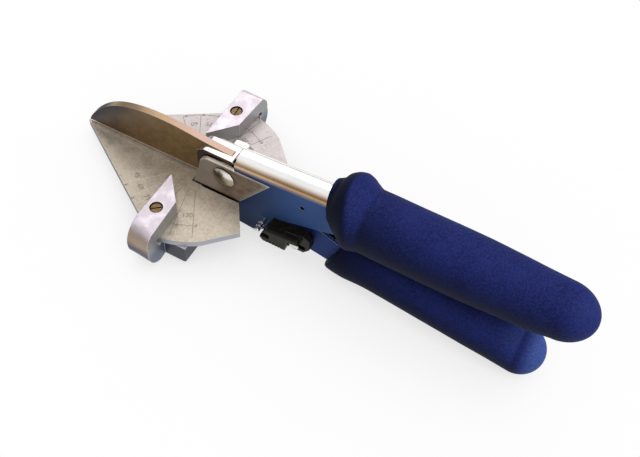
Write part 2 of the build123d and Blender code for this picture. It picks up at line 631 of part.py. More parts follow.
def spring_stud():
    """Lower seat of the spring, standing on the lever's web."""
    seat = lever_under_z(SPRING_X) + LEVER_WALL
    low = seat + STUD_RISE
    stud = upright(SPRING_X, 0, CUP_FLANGE_R, low, low + CUP_FLANGE_THICK)
    foot = seat - LEVER_WALL + STUD_FOOT_INSET
    return stud + upright(SPRING_X, 0, STUD_R, foot, low + STUD_HEIGHT)


def return_spring():
    seat = lever_under_z(SPRING_X) + LEVER_WALL + STUD_RISE + CUP_FLANGE_THICK
    low = seat + SEAT_GAP + SPRING_WIRE_R
    high = SPRING_PIN_Z - CUP_DROP - SEAT_GAP - SPRING_WIRE_R
    path = Helix(pitch=(high - low) / SPRING_TURNS, height=high - low, radius=SPRING_MEAN_R)
    section = Plane(origin=path @ 0, z_dir=path % 0) * Circle(SPRING_WIRE_R)
    return Pos(SPRING_X, 0, low) * sweep(section, path=path, is_frenet=True)


def catch_screw():
    head_y = -CATCH_MID_Y - CATCH_SCREW_HEAD_GAP
    shank = cross_pin(CATCH_SCREW, CATCH_SCREW_R, head_y, -LEVER_HALF + LEVER_WALL)
    head = cross_pin(CATCH_SCREW, CATCH_SCREW_HEAD_R, head_y - CATCH_SCREW_HEAD_HEIGHT, head_y)
    rim = head.edges().filter_by(GeomType.CIRCLE).sort_by(Axis.Y)[0]
    return shank + fillet(rim, CATCH_SCREW_HEAD_HEIGHT * CATCH_SCREW_DOME_SHARE)


def catch_outline(rear):
    """Side outline of the catch, its front cleared by a circle about the pivot."""
    low_front, middle, high_front = [on_pivot_circle(CATCH_SWEEP_R, x) for x in CATCH_FRONT_X]
    foot_x = CATCH_FRONT_X[0] - CATCH_FOOT_REACH
    sides = Polyline(high_front, CATCH_TOP, *rear, (foot_x + CATCH_FOOT_CUT, CATCH_LOW_Z),
                     (foot_x, CATCH_LOW_Z + CATCH_FOOT_CUT), low_front)
    return Curve() + [ThreePointArc(low_front, middle, high_front), sides]


def catch_cuts():
    """Mouth for the peg, slot for the screw and the grooves under the thumb."""
    mouth_half = PEG_R + PEG_GAP
    mouth_x = MOUTH_END_X - mouth_half
    cuts = block((0, -FAR, PEG[1] - mouth_half), (mouth_x, 0, PEG[1] + mouth_half))
    cuts += cross_pin((mouth_x, PEG[1]), mouth_half, -FAR, 0)
    slot_r = CATCH_SCREW_R + RUNNING_GAP
    x, z = CATCH_SCREW
    cuts += block((x, -FAR, z - slot_r), (x + CATCH_TRAVEL, 0, z + slot_r))
    for end in (x, x + CATCH_TRAVEL):
        cuts += cross_pin((end, z), slot_r, -FAR, 0)
    top = PEG[1] - mouth_half - GROOVE_SHORT
    for i in range(GROOVES):
        groove_x = GROOVE_LAST_X - i * GROOVE_PITCH
        low = (groove_x - GROOVE_HALF, -FAR, CATCH_LOW_Z - PAST)
        cuts += block(low, (groove_x + GROOVE_HALF, GROOVE_DEPTH - CATCH_FRONT_Y, top))
    return cuts


def safety_catch():
    base = wall(catch_outline(CATCH_REAR), -CATCH_MID_Y, -CATCH_BACK_Y)
    thumb = wall(catch_outline(CATCH_THUMB_REAR), -CATCH_FRONT_Y, -CATCH_BACK_Y)
    thumb = fillet(thumb.faces().sort_by(Axis.Y)[0].edges(), CATCH_EDGE_R)
    (pad_x0, pad_z0), (pad_x1, pad_z1) = CATCH_PAD
    pad_y = -LEVER_HALF - CATCH_SIDE_GAP
    pad = block((pad_x0, -CATCH_BACK_Y, pad_z0), (pad_x1, pad_y, pad_z1))
    return base + thumb + pad - catch_cuts()


def fence_section():
    """C section round the plate's rim, seen along X, in +Y, still square outside."""
    points = ((FENCE_REACH_Y, FENCE_TOP_Z), (0, FENCE_TOP_Z), (0, FENCE_SLOT_GAP),
              (FENCE_SLOT_Y, FENCE_SLOT_GAP), (FENCE_SLOT_Y, FENCE_JAW_TOP_Z),
              (FENCE_JAW_Y, FENCE_JAW_TOP_Z), (FENCE_JAW_Y, FENCE_LOW_Z), (FENCE_REACH_Y, FENCE_LOW_Z))
    return Plane.YZ * make_face(Polyline(*points, close=True))


def round_side():
    """Half round outer side of a fence: its ends, its crown and the places between."""
    middle_z = (FENCE_TOP_Z + FENCE_LOW_Z) / 2
    share = math.sqrt(0.5)
    between_y = FENCE_BEND_Y + FENCE_CURVE_DEPTH * share
    rise = (FENCE_TOP_Z - middle_z) * share
    return [(FENCE_BEND_Y, FENCE_TOP_Z), (between_y, middle_z + rise), (FENCE_OUTER_Y, middle_z),
            (between_y, middle_z - rise), (FENCE_BEND_Y, FENCE_LOW_Z)]


def squarer_side(values):
    """The same five places for a squarer outer side."""
    top_in, corner_in, corner_down, crown_out, crown_z, low_in, low_rise, end_in = values
    crown = FENCE_OUTER_Y
    return [(crown - top_in, FENCE_TOP_Z), (crown - corner_in, FENCE_TOP_Z - corner_down),
            (crown + crown_out, crown_z),
            (crown - low_in, FENCE_LOW_Z + low_rise), (crown - end_in, FENCE_LOW_Z)]


def outer_form(face_side, rear_side):
    """Body that gives a fence its outer side, from the work face to the rear."""
    faces = []
    for x, side in ((FENCE_FACE_X, face_side), (fence_rear_x(FENCE_REACH_Y), rear_side)):
        edges = [ThreePointArc(*side[:3]), ThreePointArc(*side[2:]),
                 Polyline(side[4], (0, FENCE_LOW_Z), (0, FENCE_TOP_Z), side[0])]
        faces.append(Pos(x, 0, 0) * (Plane.YZ * make_face(Curve() + edges)))
    return loft(faces, ruled=True)


def fence_rear_x(y):
    """Where the rear face stands, y mm from the middle."""
    return FENCE_REAR_X + FENCE_REAR_SLOPE * (y - FENCE_CUT_END_Y)


def fence_plan():
    """Outline of the fence seen from above: straight face, slanting inner end and rear face."""
    return Polyline((FENCE_FACE_X, FENCE_TIP_Y), (FENCE_REAR_X, FENCE_CUT_END_Y),
                    (fence_rear_x(FENCE_REACH_Y), FENCE_REACH_Y), (FENCE_FACE_X, FENCE_REACH_Y), close=True)


def fence(face_side, rear_side):
    """A fence in +Y."""
    arm = Pos(FENCE_FACE_X, 0, 0) * extrude(fence_section(), amount=LUG_END_X - FENCE_FACE_X)
    arm &= Pos(0, 0, -FAR / 2) * extrude(make_face(fence_plan()), amount=FAR)
    arm &= outer_form(face_side, rear_side)
    keyhole_z = FENCE_SLOT_GAP - KEYHOLE_R * KEYHOLE_SINK_SHARE
    arm -= Pos(0, FENCE_SLOT_Y, keyhole_z) * Rot(0, 90, 0) * Cylinder(KEYHOLE_R, FAR)
    return arm + fence_lug() - fence_hole()


def fence_lug():
    """Block of the lower jaw that stands out towards the handles."""
    low = (FENCE_REAR_X, FENCE_JAW_Y, FENCE_LOW_Z)
    lug = block(low, (LUG_END_X, LUG_OUTER_Y, FENCE_JAW_TOP_Z))
    low_end = lug.edges().filter_by(Axis.Y).group_by(Axis.X)[-1].group_by(Axis.Z)[0]
    return fillet(low_end, LUG_ROUND)


def fence_hole():
    bore = upright(FENCE_SCREW_X, DIMPLE_CIRCLE_R, FENCE_SCREW_R + RUNNING_GAP, 0, FAR)
    sink = upright(FENCE_SCREW_X, DIMPLE_CIRCLE_R, FENCE_SINK_R,
                   FENCE_TOP_Z - FENCE_SINK_DEPTH, FENCE_TOP_Z + PAST)
    return bore + sink


def fence_screw(turn):
    """Slotted grub screw in +Y, whose cone points into a dimple of the plate."""
    high = FENCE_TOP_Z - FENCE_SCREW_RECESS
    low = FENCE_SCREW_TIP_GAP
    body = upright(FENCE_SCREW_X, DIMPLE_CIRCLE_R, FENCE_SCREW_R, low + FENCE_SCREW_CONE, high)
    cone = Cone(FENCE_SCREW_POINT_R, FENCE_SCREW_R, FENCE_SCREW_CONE)
    body += Pos(FENCE_SCREW_X, DIMPLE_CIRCLE_R, low + FENCE_SCREW_CONE / 2) * cone
    half = FENCE_SCREW_SLOT / 2
    slot = block((-FENCE_SINK_R, -half, high - FENCE_SCREW_SLOT_DEPTH), (FENCE_SINK_R, half, high + PAST))
    return body - Pos(FENCE_SCREW_X, DIMPLE_CIRCLE_R, 0) * Rot(0, 0, turn) * slot


def oval_body(stations, end_length):
    """Oval body through its stations, closed by a rounded end."""
    x, z, half_width, half_height = stations[-1]
    sections = list(stations)
    for angle in GRIP_END_ANGLES:
        along = end_length * math.sin(math.radians(angle))
        shrink = math.cos(math.radians(angle))
        sections.append((x + along, z, half_width * shrink, half_height * shrink))
    faces = []
    for x, z, half_width, half_height in sections:
        plane = Plane(origin=(x, 0, z), x_dir=(0, 1, 0), z_dir=(1, 0, 0))
        faces.append(plane * Ellipse(half_width, half_height))
    return loft(faces, ruled=True)


def upper_grip():
    pocket = channel_envelope() + tang_bar(UPPER_TANG, UPPER_TANG_HALF, TANG_HALF_HEIGHT)
    return oval_body(UPPER_GRIP, UPPER_GRIP_END) - pocket


def lower_grip():
    pocket = wall(lever_points(), -LEVER_HALF, LEVER_HALF)
    pocket += tang_bar(LOWER_TANG, LEVER_HALF, TANG_HALF_HEIGHT)
    (low_x, low_z), (high_x, high_z) = LOWER_GRIP_FRONT
    ahead = wall(((-FAR, low_z), (low_x, low_z), (high_x, high_z), (-FAR, high_z)), -FAR, FAR)
    return oval_body(LOWER_GRIP, LOWER_GRIP_END) - ahead - pocket


os.makedirs("parts", exist_ok=True)
for build in (frame_channel, anvil_plate, anvil_screws, pivot_bolt, pivot_nut, thrust_washers,
              spring_pin, spring_cup, latch_peg, upper_grip, lower_lever, blade, pivot_bush,
              blade_rivets, spring_stud, return_spring, catch_screw, safety_catch, lower_grip):
    save(build.__name__, build())
save("far_fence", fence(squarer_side(FAR_FACE_SIDE), squarer_side(FAR_REAR_SIDE)))
save("near_fence", mirror(fence(round_side(), squarer_side(NEAR_REAR_SIDE)), about=Plane.XZ))
save("far_fence_screw", fence_screw(FAR_SCREW_TURN))
save("near_fence_screw", mirror(fence_screw(-NEAR_SCREW_TURN), about=Plane.XZ))
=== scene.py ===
import json
import math

import bpy
import numpy as np
from mathutils import Matrix, Vector


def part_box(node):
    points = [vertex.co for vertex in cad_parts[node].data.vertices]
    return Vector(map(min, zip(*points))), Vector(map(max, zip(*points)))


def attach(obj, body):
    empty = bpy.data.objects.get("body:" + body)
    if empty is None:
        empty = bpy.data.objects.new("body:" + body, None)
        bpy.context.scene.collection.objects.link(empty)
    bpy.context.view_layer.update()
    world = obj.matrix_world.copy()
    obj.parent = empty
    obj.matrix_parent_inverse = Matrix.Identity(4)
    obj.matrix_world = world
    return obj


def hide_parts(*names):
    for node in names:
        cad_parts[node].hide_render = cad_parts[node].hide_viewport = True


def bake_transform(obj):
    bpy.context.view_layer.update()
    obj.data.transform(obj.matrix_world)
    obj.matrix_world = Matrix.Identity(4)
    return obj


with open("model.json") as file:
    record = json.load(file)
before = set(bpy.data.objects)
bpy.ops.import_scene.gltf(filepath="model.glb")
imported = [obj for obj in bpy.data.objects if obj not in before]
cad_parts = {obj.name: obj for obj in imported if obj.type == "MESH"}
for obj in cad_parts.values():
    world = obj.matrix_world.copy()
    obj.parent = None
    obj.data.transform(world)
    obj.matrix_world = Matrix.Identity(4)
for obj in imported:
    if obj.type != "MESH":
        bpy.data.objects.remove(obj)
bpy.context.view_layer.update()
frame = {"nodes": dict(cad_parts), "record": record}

# Places and sizes are in millimetres and angles in degrees, unless a comment says otherwise.
MM = 0.001

# Camera, from the photo's viewpoint
CAMERA_AZIMUTH = 27.07
CAMERA_ELEVATION = 54.03
CAMERA_ROLL = 2.48
CAMERA_SHIFT = (60.94, -30.07)      # place across and up the camera's own axes
CAMERA_DISTANCE = 483.67
CLIP_START = 10.0
IMAGE_WIDTH = 640                   # pixels
FOCAL_PIXELS = 974.72
SENSOR_WIDTH = 36.0


def mm(*values):
    """Point or size given in millimetres, in metres."""
    return Vector(values) * MM


def middle(node):
    """Centre of a CAD node's box, in millimetres."""
    low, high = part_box(node)
    return (low + high) / 2 / MM


# ---------------------------------------------------------------- node trees

BEVEL_SAMPLES = 4
WORN_FADE = (0.995, 0.90)           # match of the rounded normal and the true one


class Tree:
    """The node tree of a material or world, and short calls for the nodes that it uses."""

    def __init__(self, owner):
        owner.use_nodes = True
        self.nodes = owner.node_tree.nodes
        self.links = owner.node_tree.links

    def put(self, socket, value):
        """Links or sets a socket. Three numbers are an opaque colour where it takes a colour."""
        if isinstance(value, bpy.types.NodeSocket):
            self.links.new(value, socket)
        elif isinstance(value, tuple) and len(value) == 3 and socket.type == "RGBA":
            socket.default_value = (*value, 1.0)
        else:
            socket.default_value = value

    def node(self, kind, settings=None, **sockets):
        """New node. Sockets are named with _ for a space, or with _0, _1 for their number."""
        made = self.nodes.new(kind)
        for key, value in (settings or {}).items():
            setattr(made, key, value)
        for key, value in sockets.items():
            number = key[1:]
            socket = made.inputs[int(number) if number.isdigit() else key.replace("_", " ")]
            self.put(socket, value)
        return made

    def math(self, operation, a, b=0.0):
        return self.node("ShaderNodeMath", {"operation": operation}, _0=a, _1=b).outputs[0]

    def times(self, a, b):
        return self.math("MULTIPLY", a, b)

    def plus(self, a, b):
        return self.math("ADD", a, b)

    def most(self, a, b):
        return self.math("MAXIMUM", a, b)

    def unsigned(self, value):
        return self.math("ABSOLUTE", value)

    def mix(self, share, a, b):
        """Colour between a and b."""
        return self.node("ShaderNodeMix", {"data_type": "RGBA"}, _0=share, _6=a, _7=b).outputs[2]

    def over(self, base, color, share, strength=1.0):
        """Color laid over base by share, at most by strength."""
        if strength != 1.0:
            share = self.times(share, strength)
        return self.mix(share, base, color)

    def blend(self, share, a, b):
        """Number between a and b."""
        return self.node("ShaderNodeMix", {"data_type": "FLOAT"}, _0=share, _2=a, _3=b).outputs[0]

    def step(self, value, fade):
        """0 at the fade's first value, 1 at its second, smooth between."""
        return self.node("ShaderNodeMapRange", {"interpolation_type": "SMOOTHSTEP"}, Value=value,
                         From_Min=fade[0], From_Max=fade[1]).outputs[0]

    def watched(self):
        """1 for the camera and for mirrored and clear paths, 0 for light that lands on things."""
        rays = self.node("ShaderNodeLightPath").outputs
        seen = self.most(rays["Is Camera Ray"], rays["Is Glossy Ray"])
        return self.most(seen, rays["Is Transmission Ray"])


class Look(Tree):
    """A material on the object's own coordinates."""

    def __init__(self, name, **uniform):
        self.material = bpy.data.materials.new(name)
        super().__init__(self.material)
        self.shader = self.nodes["Principled BSDF"]
        for socket, value in uniform.items():
            self.put(self.shader.inputs[socket.replace("_", " ")], value)
        coordinates = self.node("ShaderNodeTexCoord").outputs
        self.place = coordinates["Object"]
        self.normal = coordinates["Normal"]

    def noise(self, size, detail=3.0, stretch=(1.0, 1.0, 1.0), roughness=0.55):
        """Noise from 0 to 1 whose blobs are about size, and longer along a stretch below 1."""
        scale = tuple(share / (size * MM) for share in stretch)
        mapped = self.node("ShaderNodeMapping", Vector=self.place, Scale=scale).outputs[0]
        return self.node("ShaderNodeTexNoise", Vector=mapped, Scale=1.0, Detail=detail,
                         Roughness=roughness).outputs["Fac"]

    def patches(self, fade, size, detail, stretch=(1.0, 1.0, 1.0), roughness=0.55):
        """Noise pushed towards 0 and 1 by a fade."""
        return self.step(self.noise(size, detail, stretch, roughness), fade)

    def axis(self, name):
        """The place along X, Y or Z, in millimetres."""
        split = self.node("ShaderNodeSeparateXYZ", Vector=self.place)
        return self.times(split.outputs[name], 1.0 / MM)

    def facing(self, name):
        """The surface normal along X, Y or Z."""
        return self.node("ShaderNodeSeparateXYZ", Vector=self.normal).outputs[name]

    def from_line(self, first, second, centre):
        """Distance from a line along the third axis. First and second are the place's axes."""
        a = self.math("SUBTRACT", first, centre[0])
        b = self.math("SUBTRACT", second, centre[1])
        return self.math("POWER", self.plus(self.times(a, a), self.times(b, b)), 0.5)

    def rounded(self, radius):
        """The normal with its edges rounded."""
        return self.node("ShaderNodeBevel", {"samples": BEVEL_SAMPLES}, Radius=radius * MM).outputs[0]

    def worn_edge(self, radius):
        """1 along sharp edges, 0 on flat faces."""
        true = self.node("ShaderNodeNewGeometry").outputs["Normal"]
        match = self.node("ShaderNodeVectorMath", {"operation": "DOT_PRODUCT"}, _0=self.rounded(radius),
                          _1=true)
        return self.step(match.outputs["Value"], WORN_FADE)

    def relief(self, height, depth, edge=0.0):
        """Bump of a depth, over an edge rounding."""
        bump = self.node("ShaderNodeBump", Height=height, Strength=1.0, Distance=depth * MM)
        if edge:
            self.put(bump.inputs["Normal"], self.rounded(edge))
        self.put(self.shader.inputs["Normal"], bump.outputs[0])

    def paint(self, color, roughness=None, metallic=None):
        for socket, value in (("Base Color", color), ("Roughness", roughness), ("Metallic", metallic)):
            if value is not None:
                self.put(self.shader.inputs[socket], value)


# ---------------------------------------------------------------- materials
#
# Colours are linear. Two colours are the two ends of a mottle. Two numbers are a fade, from where
# it starts to where it is full: along an axis, or for names that end in SLOPE, along the normal.

ALLOY_NEAR_SHADE = ((0.40, 0.345, 0.27), (0.54, 0.47, 0.385))
ALLOY_FAR = ((0.44, 0.39, 0.40), (0.58, 0.52, 0.54))
ALLOY_FLECK = (0.60, 0.545, 0.48)
ALLOY_SPECK = (0.17, 0.135, 0.10)
ALLOY_SCRATCH = (0.30, 0.25, 0.20)
ALLOY_EDGE = (0.72, 0.70, 0.70)
RIM_SHADED_NOSE_AND_REAR = ((0.040, 0.040, 0.060), (0.40, 0.405, 0.44))
SLOT_SHADOW = (0.010, 0.009, 0.008)
FAR_HALF = (-8.0, 14.0)
RIM_SLOPE = (0.8, 0.3)
RIM_REAR = (-12.0, 6.0)
SLOT_SIDES = (12.0, 10.5)
SLOT_FRONT = (-9.0, -7.0)


def anvil_look():
    """Satin cast alloy: warm, mottled, scratched along the cut."""
    look = Look("anvil_alloy", Metallic=0.55)
    x, y = look.axis("X"), look.axis("Y")
    blotch = look.patches((0.35, 0.68), 9.0, 5.0)
    fleck = look.patches((0.42, 0.66), 1.3, 4.0)
    speck = look.patches((0.45, 0.32), 1.7, 6.0, roughness=0.75)
    scratch = look.patches((0.60, 0.70), 0.8, 2.0, stretch=(0.06, 1.0, 1.0))
    # painted shade of the blade and handles: the near half is darker and warmer than the far half
    color = look.mix(look.step(y, FAR_HALF), look.mix(blotch, *ALLOY_NEAR_SHADE), look.mix(blotch, *ALLOY_FAR))
    color = look.over(color, ALLOY_FLECK, fleck, 0.45)
    color = look.over(color, ALLOY_SPECK, speck, 0.65)
    color = look.over(color, ALLOY_SCRATCH, scratch, 0.25)
    # painted shade: the rim is darker at the nose, and black inside the slot
    rim = look.mix(look.step(x, RIM_REAR), *RIM_SHADED_NOSE_AND_REAR)
    slot = look.times(look.step(look.unsigned(y), SLOT_SIDES), look.step(x, SLOT_FRONT))
    rim = look.over(rim, SLOT_SHADOW, slot)
    color = look.over(color, rim, look.step(look.unsigned(look.facing("Z")), RIM_SLOPE))
    color = look.over(color, ALLOY_EDGE, look.worn_edge(0.35), 0.7)
    look.paint(color, look.blend(blotch, 0.34, 0.46))
    height = look.plus(look.noise(1.3, 4.0), look.times(scratch, -0.4))
    look.relief(height, 0.03, edge=0.25)
    return look.material


FENCE_TOP = ((0.54, 0.485, 0.53), (0.67, 0.60, 0.665))
FENCE_GLINT = (0.80, 0.725, 0.81)
FENCE_SHADED_SIDE = ((0.245, 0.245, 0.24), (0.33, 0.335, 0.335))
FENCE_SIDE_FOOT_SHADE = (0.125, 0.150, 0.205)
FENCE_BEND_REFLECTION = ((0.40, 0.30, 0.215), (0.050, 0.056, 0.100))
FENCE_LUG_SHADOW = ((0.030, 0.031, 0.050), (0.060, 0.062, 0.090))
FENCE_EDGE = (0.86, 0.82, 0.86)
SINK_SHADE = (0.030, 0.022, 0.016)
TOP_SLOPE = (0.55, 0.93)
BEND_SLOPE = (0.5, 0.2)
BEND_FOOT = (3.0, -4.0)
SIDE_FOOT = (1.0, -7.0)
LUG_FRONT = (9.2, 10.4)
SINK_WALL = (3.35, 3.25)        # distance from the screw's axis
SINK_TOP = (8.98, 8.90)


def fence_look():
    """Die casting with a bright ground top, and sides painted duller and darker as shade."""
    look = Look("fence_alloy", Metallic=0.6)
    x, y, z = look.axis("X"), look.axis("Y"), look.axis("Z")
    grain = look.noise(0.5, 3.0, stretch=(1.0, 0.12, 1.0))
    top = look.step(look.facing("Z"), TOP_SLOPE)
    bright = look.over(look.mix(grain, *FENCE_TOP), FENCE_GLINT, look.patches((0.42, 0.66), 7.0, 5.0))
    # painted shade: the sides are darker than the top, and darker and bluer towards the foot; on the faces
    # that turn from X, a painted reflection, tan above and navy below
    dull = look.mix(look.noise(1.0, 4.0), *FENCE_SHADED_SIDE)
    dull = look.over(dull, FENCE_SIDE_FOOT_SHADE, look.step(z, SIDE_FOOT))
    bend = look.mix(look.step(z, BEND_FOOT), *FENCE_BEND_REFLECTION)
    dull = look.over(dull, bend, look.step(look.unsigned(look.facing("X")), BEND_SLOPE))
    # painted shadow: the lug behind the lower jaw is dark in the plate's shadow, and the screw's sink is
    # dark as shade
    lug = look.step(x, LUG_FRONT)
    dull = look.over(dull, look.mix(look.noise(1.5, 4.0), *FENCE_LUG_SHADOW), lug)
    color = look.mix(top, dull, bright)
    color = look.over(color, FENCE_EDGE, look.times(look.worn_edge(0.4), look.blend(lug, 0.75, 0.1)))
    screw = middle("far_fence_screw")
    away = look.from_line(x, look.unsigned(y), (screw.x, screw.y))
    color = look.over(color, SINK_SHADE, look.times(look.step(away, SINK_WALL), look.step(z, SINK_TOP)))
    look.paint(color, look.blend(top, 0.42, 0.44))
    look.relief(look.noise(0.4, 4.0), 0.015, edge=0.35)
    return look.material


CHANNEL_STEEL = ((0.90, 0.92, 0.93), (0.97, 0.98, 0.98))
CHANNEL_TAN_REFLECTION = ((0.70, 0.46, 0.26), (0.86, 0.60, 0.36))
CHANNEL_TAN_REFLECTION_REAR = ((0.54, 0.33, 0.155), (0.70, 0.44, 0.22))
CHANNEL_GREY_REFLECTION = ((0.15, 0.13, 0.14), (0.21, 0.18, 0.19))
CHANNEL_EDGE = (0.80, 0.76, 0.72)
BLUE_REFLECTION_FRONT = ((0.008, 0.024, 0.075), (0.013, 0.036, 0.110))
BLUE_REFLECTION_REAR = ((0.038, 0.092, 0.270), (0.056, 0.130, 0.370))
EAR = ((0.20, 0.150, 0.110), (0.30, 0.235, 0.180))
EAR_FRONT = (0.40, 0.34, 0.29)
EAR_SLANT_HIGHLIGHT = (0.50, 0.46, 0.42)
EAR_RIM_HIGHLIGHT = (0.55, 0.50, 0.45)
CHANNEL_SHADE = (0.012, 0.009, 0.008)
TAN_SLOPE = (0.45, 0.86)
GREY_SLOPE = (0.86, 0.965)
FLANK_SLOPE = (0.955, 0.995)
EAR_RIM_SLOPE = (0.8, 0.3)
TAN_REAR = (38.0, 58.0)
BLUE_REFLECTION_LENGTH = (32.0, 72.0)
EAR_SIDE = (7.1, 7.3)           # the ear plates stand outside the channel's walls
EAR_INSIDE = (26.9, 26.6)       # ahead of this the walls are ears, too
EAR_NOSE = (22.0, 14.0)
EAR_SLANT = (0.79, 29.4)        # the rear edge's run for its rise, and where it crosses z = 0
EAR_LIGHT = (-3.5, -0.6)        # distance behind the slanting edge
SHADE_TOP = (0.7, 0.2)
SHADE_FOOT = (-4.2, -3.5)
SHADE_REAR = (29.0, 28.6)
PIN_HOLE = (1.7, 1.5)           # distance from the spring pin's axis
PIN_END = (6.95, 6.85)
BLUE_FLANK_ROUGHNESS = 0.60


def channel_look():
    """Bright pressed steel, with a blue reflection painted on the flank behind the ears as a matt coat."""
    look = Look("polished_steel", Metallic=1.0, Specular_IOR_Level=0.2)
    x, z = look.axis("X"), look.axis("Z")
    out = look.unsigned(look.axis("Y"))
    turn = look.unsigned(look.facing("Y"))
    streak = look.noise(2.0, 5.0, stretch=(0.12, 1.0, 1.0))
    rub = look.noise(2.5, 5.0, stretch=(0.5, 1.0, 1.0))
    smear = look.patches((0.36, 0.66), 3.5, 5.0, stretch=(0.8, 1.0, 1.0))
    cloud = look.noise(6.0, 4.0)

    # steel: bright on top, then a painted reflection, tan and then grey, where it turns down
    tan = look.mix(look.step(x, TAN_REAR), look.mix(rub, *CHANNEL_TAN_REFLECTION), look.mix(rub, *CHANNEL_TAN_REFLECTION_REAR))
    steel = look.mix(look.step(streak, (0.35, 0.65)), *CHANNEL_STEEL)
    steel = look.over(steel, tan, look.step(turn, TAN_SLOPE))
    steel = look.over(steel, look.mix(rub, *CHANNEL_GREY_REFLECTION), look.step(turn, GREY_SLOPE))

    # the ear plates end at a slanting edge, with a painted highlight along it and on their rims
    slant, crossing = EAR_SLANT
    behind = look.math("SUBTRACT", x, look.plus(look.times(z, slant), crossing))
    ear = look.over(look.mix(smear, *EAR), EAR_FRONT, look.step(x, EAR_NOSE))
    ear = look.over(ear, EAR_SLANT_HIGHLIGHT, look.step(behind, EAR_LIGHT), 0.45)
    ear = look.over(ear, EAR_RIM_HIGHLIGHT, look.step(turn, EAR_RIM_SLOPE))

    plate = look.most(look.step(out, EAR_SIDE), look.step(x, EAR_INSIDE))
    blue = look.times(look.step(turn, FLANK_SLOPE), look.math("SUBTRACT", 1.0, plate))
    # painted reflection of a blue ground on the flank, darker at the front, as a matt coat
    blue_reflection = look.mix(look.step(x, BLUE_REFLECTION_LENGTH), look.mix(cloud, *BLUE_REFLECTION_FRONT),
                       look.mix(cloud, *BLUE_REFLECTION_REAR))
    color = look.mix(plate, look.mix(blue, steel, blue_reflection), ear)
    color = look.over(color, CHANNEL_EDGE, look.worn_edge(0.25), 0.6)

    # painted shade where the channel passes through the plate, and in the spring pin's hole
    through_plate_shade = look.times(look.step(z, SHADE_TOP), look.step(z, SHADE_FOOT))
    through_plate_shade = look.times(through_plate_shade, look.step(x, SHADE_REAR))
    pin = middle("spring_pin")
    hole = look.times(look.step(look.from_line(x, z, (pin.x, pin.z)), PIN_HOLE), look.step(out, PIN_END))
    color = look.over(color, CHANNEL_SHADE, look.most(through_plate_shade, hole))

    rough = look.blend(plate, look.blend(streak, 0.14, 0.26), look.blend(smear, 0.46, 0.36))
    metallic = look.blend(plate, 0.9, 0.65)
    look.paint(color, look.blend(blue, rough, BLUE_FLANK_ROUGHNESS), look.blend(blue, metallic, 0.0))
    look.relief(look.noise(5.0, 3.0), 0.03, edge=0.25)
    return look.material


LEVER_STEEL = ((0.56, 0.54, 0.54), (0.74, 0.72, 0.71))
LEVER_FLANK_REFLECTION = ((0.095, 0.060, 0.052), (0.145, 0.095, 0.080))
LEVER_BLUE_REFLECTION = ((0.012, 0.036, 0.180), (0.022, 0.056, 0.250))
LEVER_NOSE_SHADE = (0.10, 0.065, 0.055)
LEVER_EDGE = (0.82, 0.80, 0.78)
LEVER_SIDE_SLOPE = (0.4, 0.9)
LEVER_NOSE_SLOPE = (-0.3, -0.8)
BLUE_REFLECTION_START = (39.0, 40.0)


def lever_look():
    """The lower handle's steel, with a blue reflection painted on behind the blade as a matt coat."""
    look = Look("lever_steel", Metallic=1.0, Specular_IOR_Level=0.2)
    reflected_blue = look.step(look.axis("X"), BLUE_REFLECTION_START)
    rub = look.noise(2.5, 5.0, stretch=(0.5, 1.0, 1.0))
    # painted reflection on the flanks, and painted shade on the faces that face forward
    side = look.step(look.unsigned(look.facing("Y")), LEVER_SIDE_SLOPE)
    flank = look.mix(look.noise(3.0, 5.0), *LEVER_FLANK_REFLECTION)
    color = look.mix(side, look.mix(rub, *LEVER_STEEL), flank)
    color = look.over(color, LEVER_NOSE_SHADE, look.step(look.facing("X"), LEVER_NOSE_SLOPE))
    # painted reflection of a blue ground behind the blade, as a matt coat
    color = look.over(color, look.mix(look.noise(6.0, 4.0), *LEVER_BLUE_REFLECTION), reflected_blue)
    color = look.over(color, LEVER_EDGE, look.worn_edge(0.3), 0.8)
    rough = look.blend(side, 0.22, 0.34)
    look.paint(color, look.blend(reflected_blue, rough, BLUE_FLANK_ROUGHNESS), look.blend(reflected_blue, 1.0, 0.0))
    look.relief(look.noise(5.0, 3.0), 0.03, edge=0.3)
    return look.material


BLADE_BROWN = ((0.160, 0.106, 0.054), (0.275, 0.182, 0.092))
BLADE_GOLD = ((0.235, 0.155, 0.068), (0.350, 0.238, 0.108))
BLADE_STAIN = (0.085, 0.052, 0.030)
BLADE_NAVY = (0.012, 0.014, 0.026)
BLADE_SPINE = ((0.28, 0.185, 0.11), (0.45, 0.325, 0.215))
BLADE_SPINE_HEEL = (0.45, 0.315, 0.255)
BLADE_SPINE_TIP = (0.035, 0.036, 0.050)
BLADE_GROUND = (0.74, 0.68, 0.60)
BLADE_EDGE = (0.70, 0.60, 0.50)
REFLECTION_LEAN = -0.9              # the painted reflection's colours lean forward as they rise and wander by this much
REFLECTION_DRIFT = 16.0             # and wander by this much
NAVY_LENGTH = (-38.0, -74.0)
GOLD_LENGTH = (-46.0, -18.0)
SPINE_SLOPE = (0.35, 0.8)
SPINE_HEEL = (-22.0, 6.0)
SPINE_TIP = (-46.0, -53.0)
TIP_SLOPE = (0.1, 0.4)
GROUND_TOP = (2.9, 2.5)


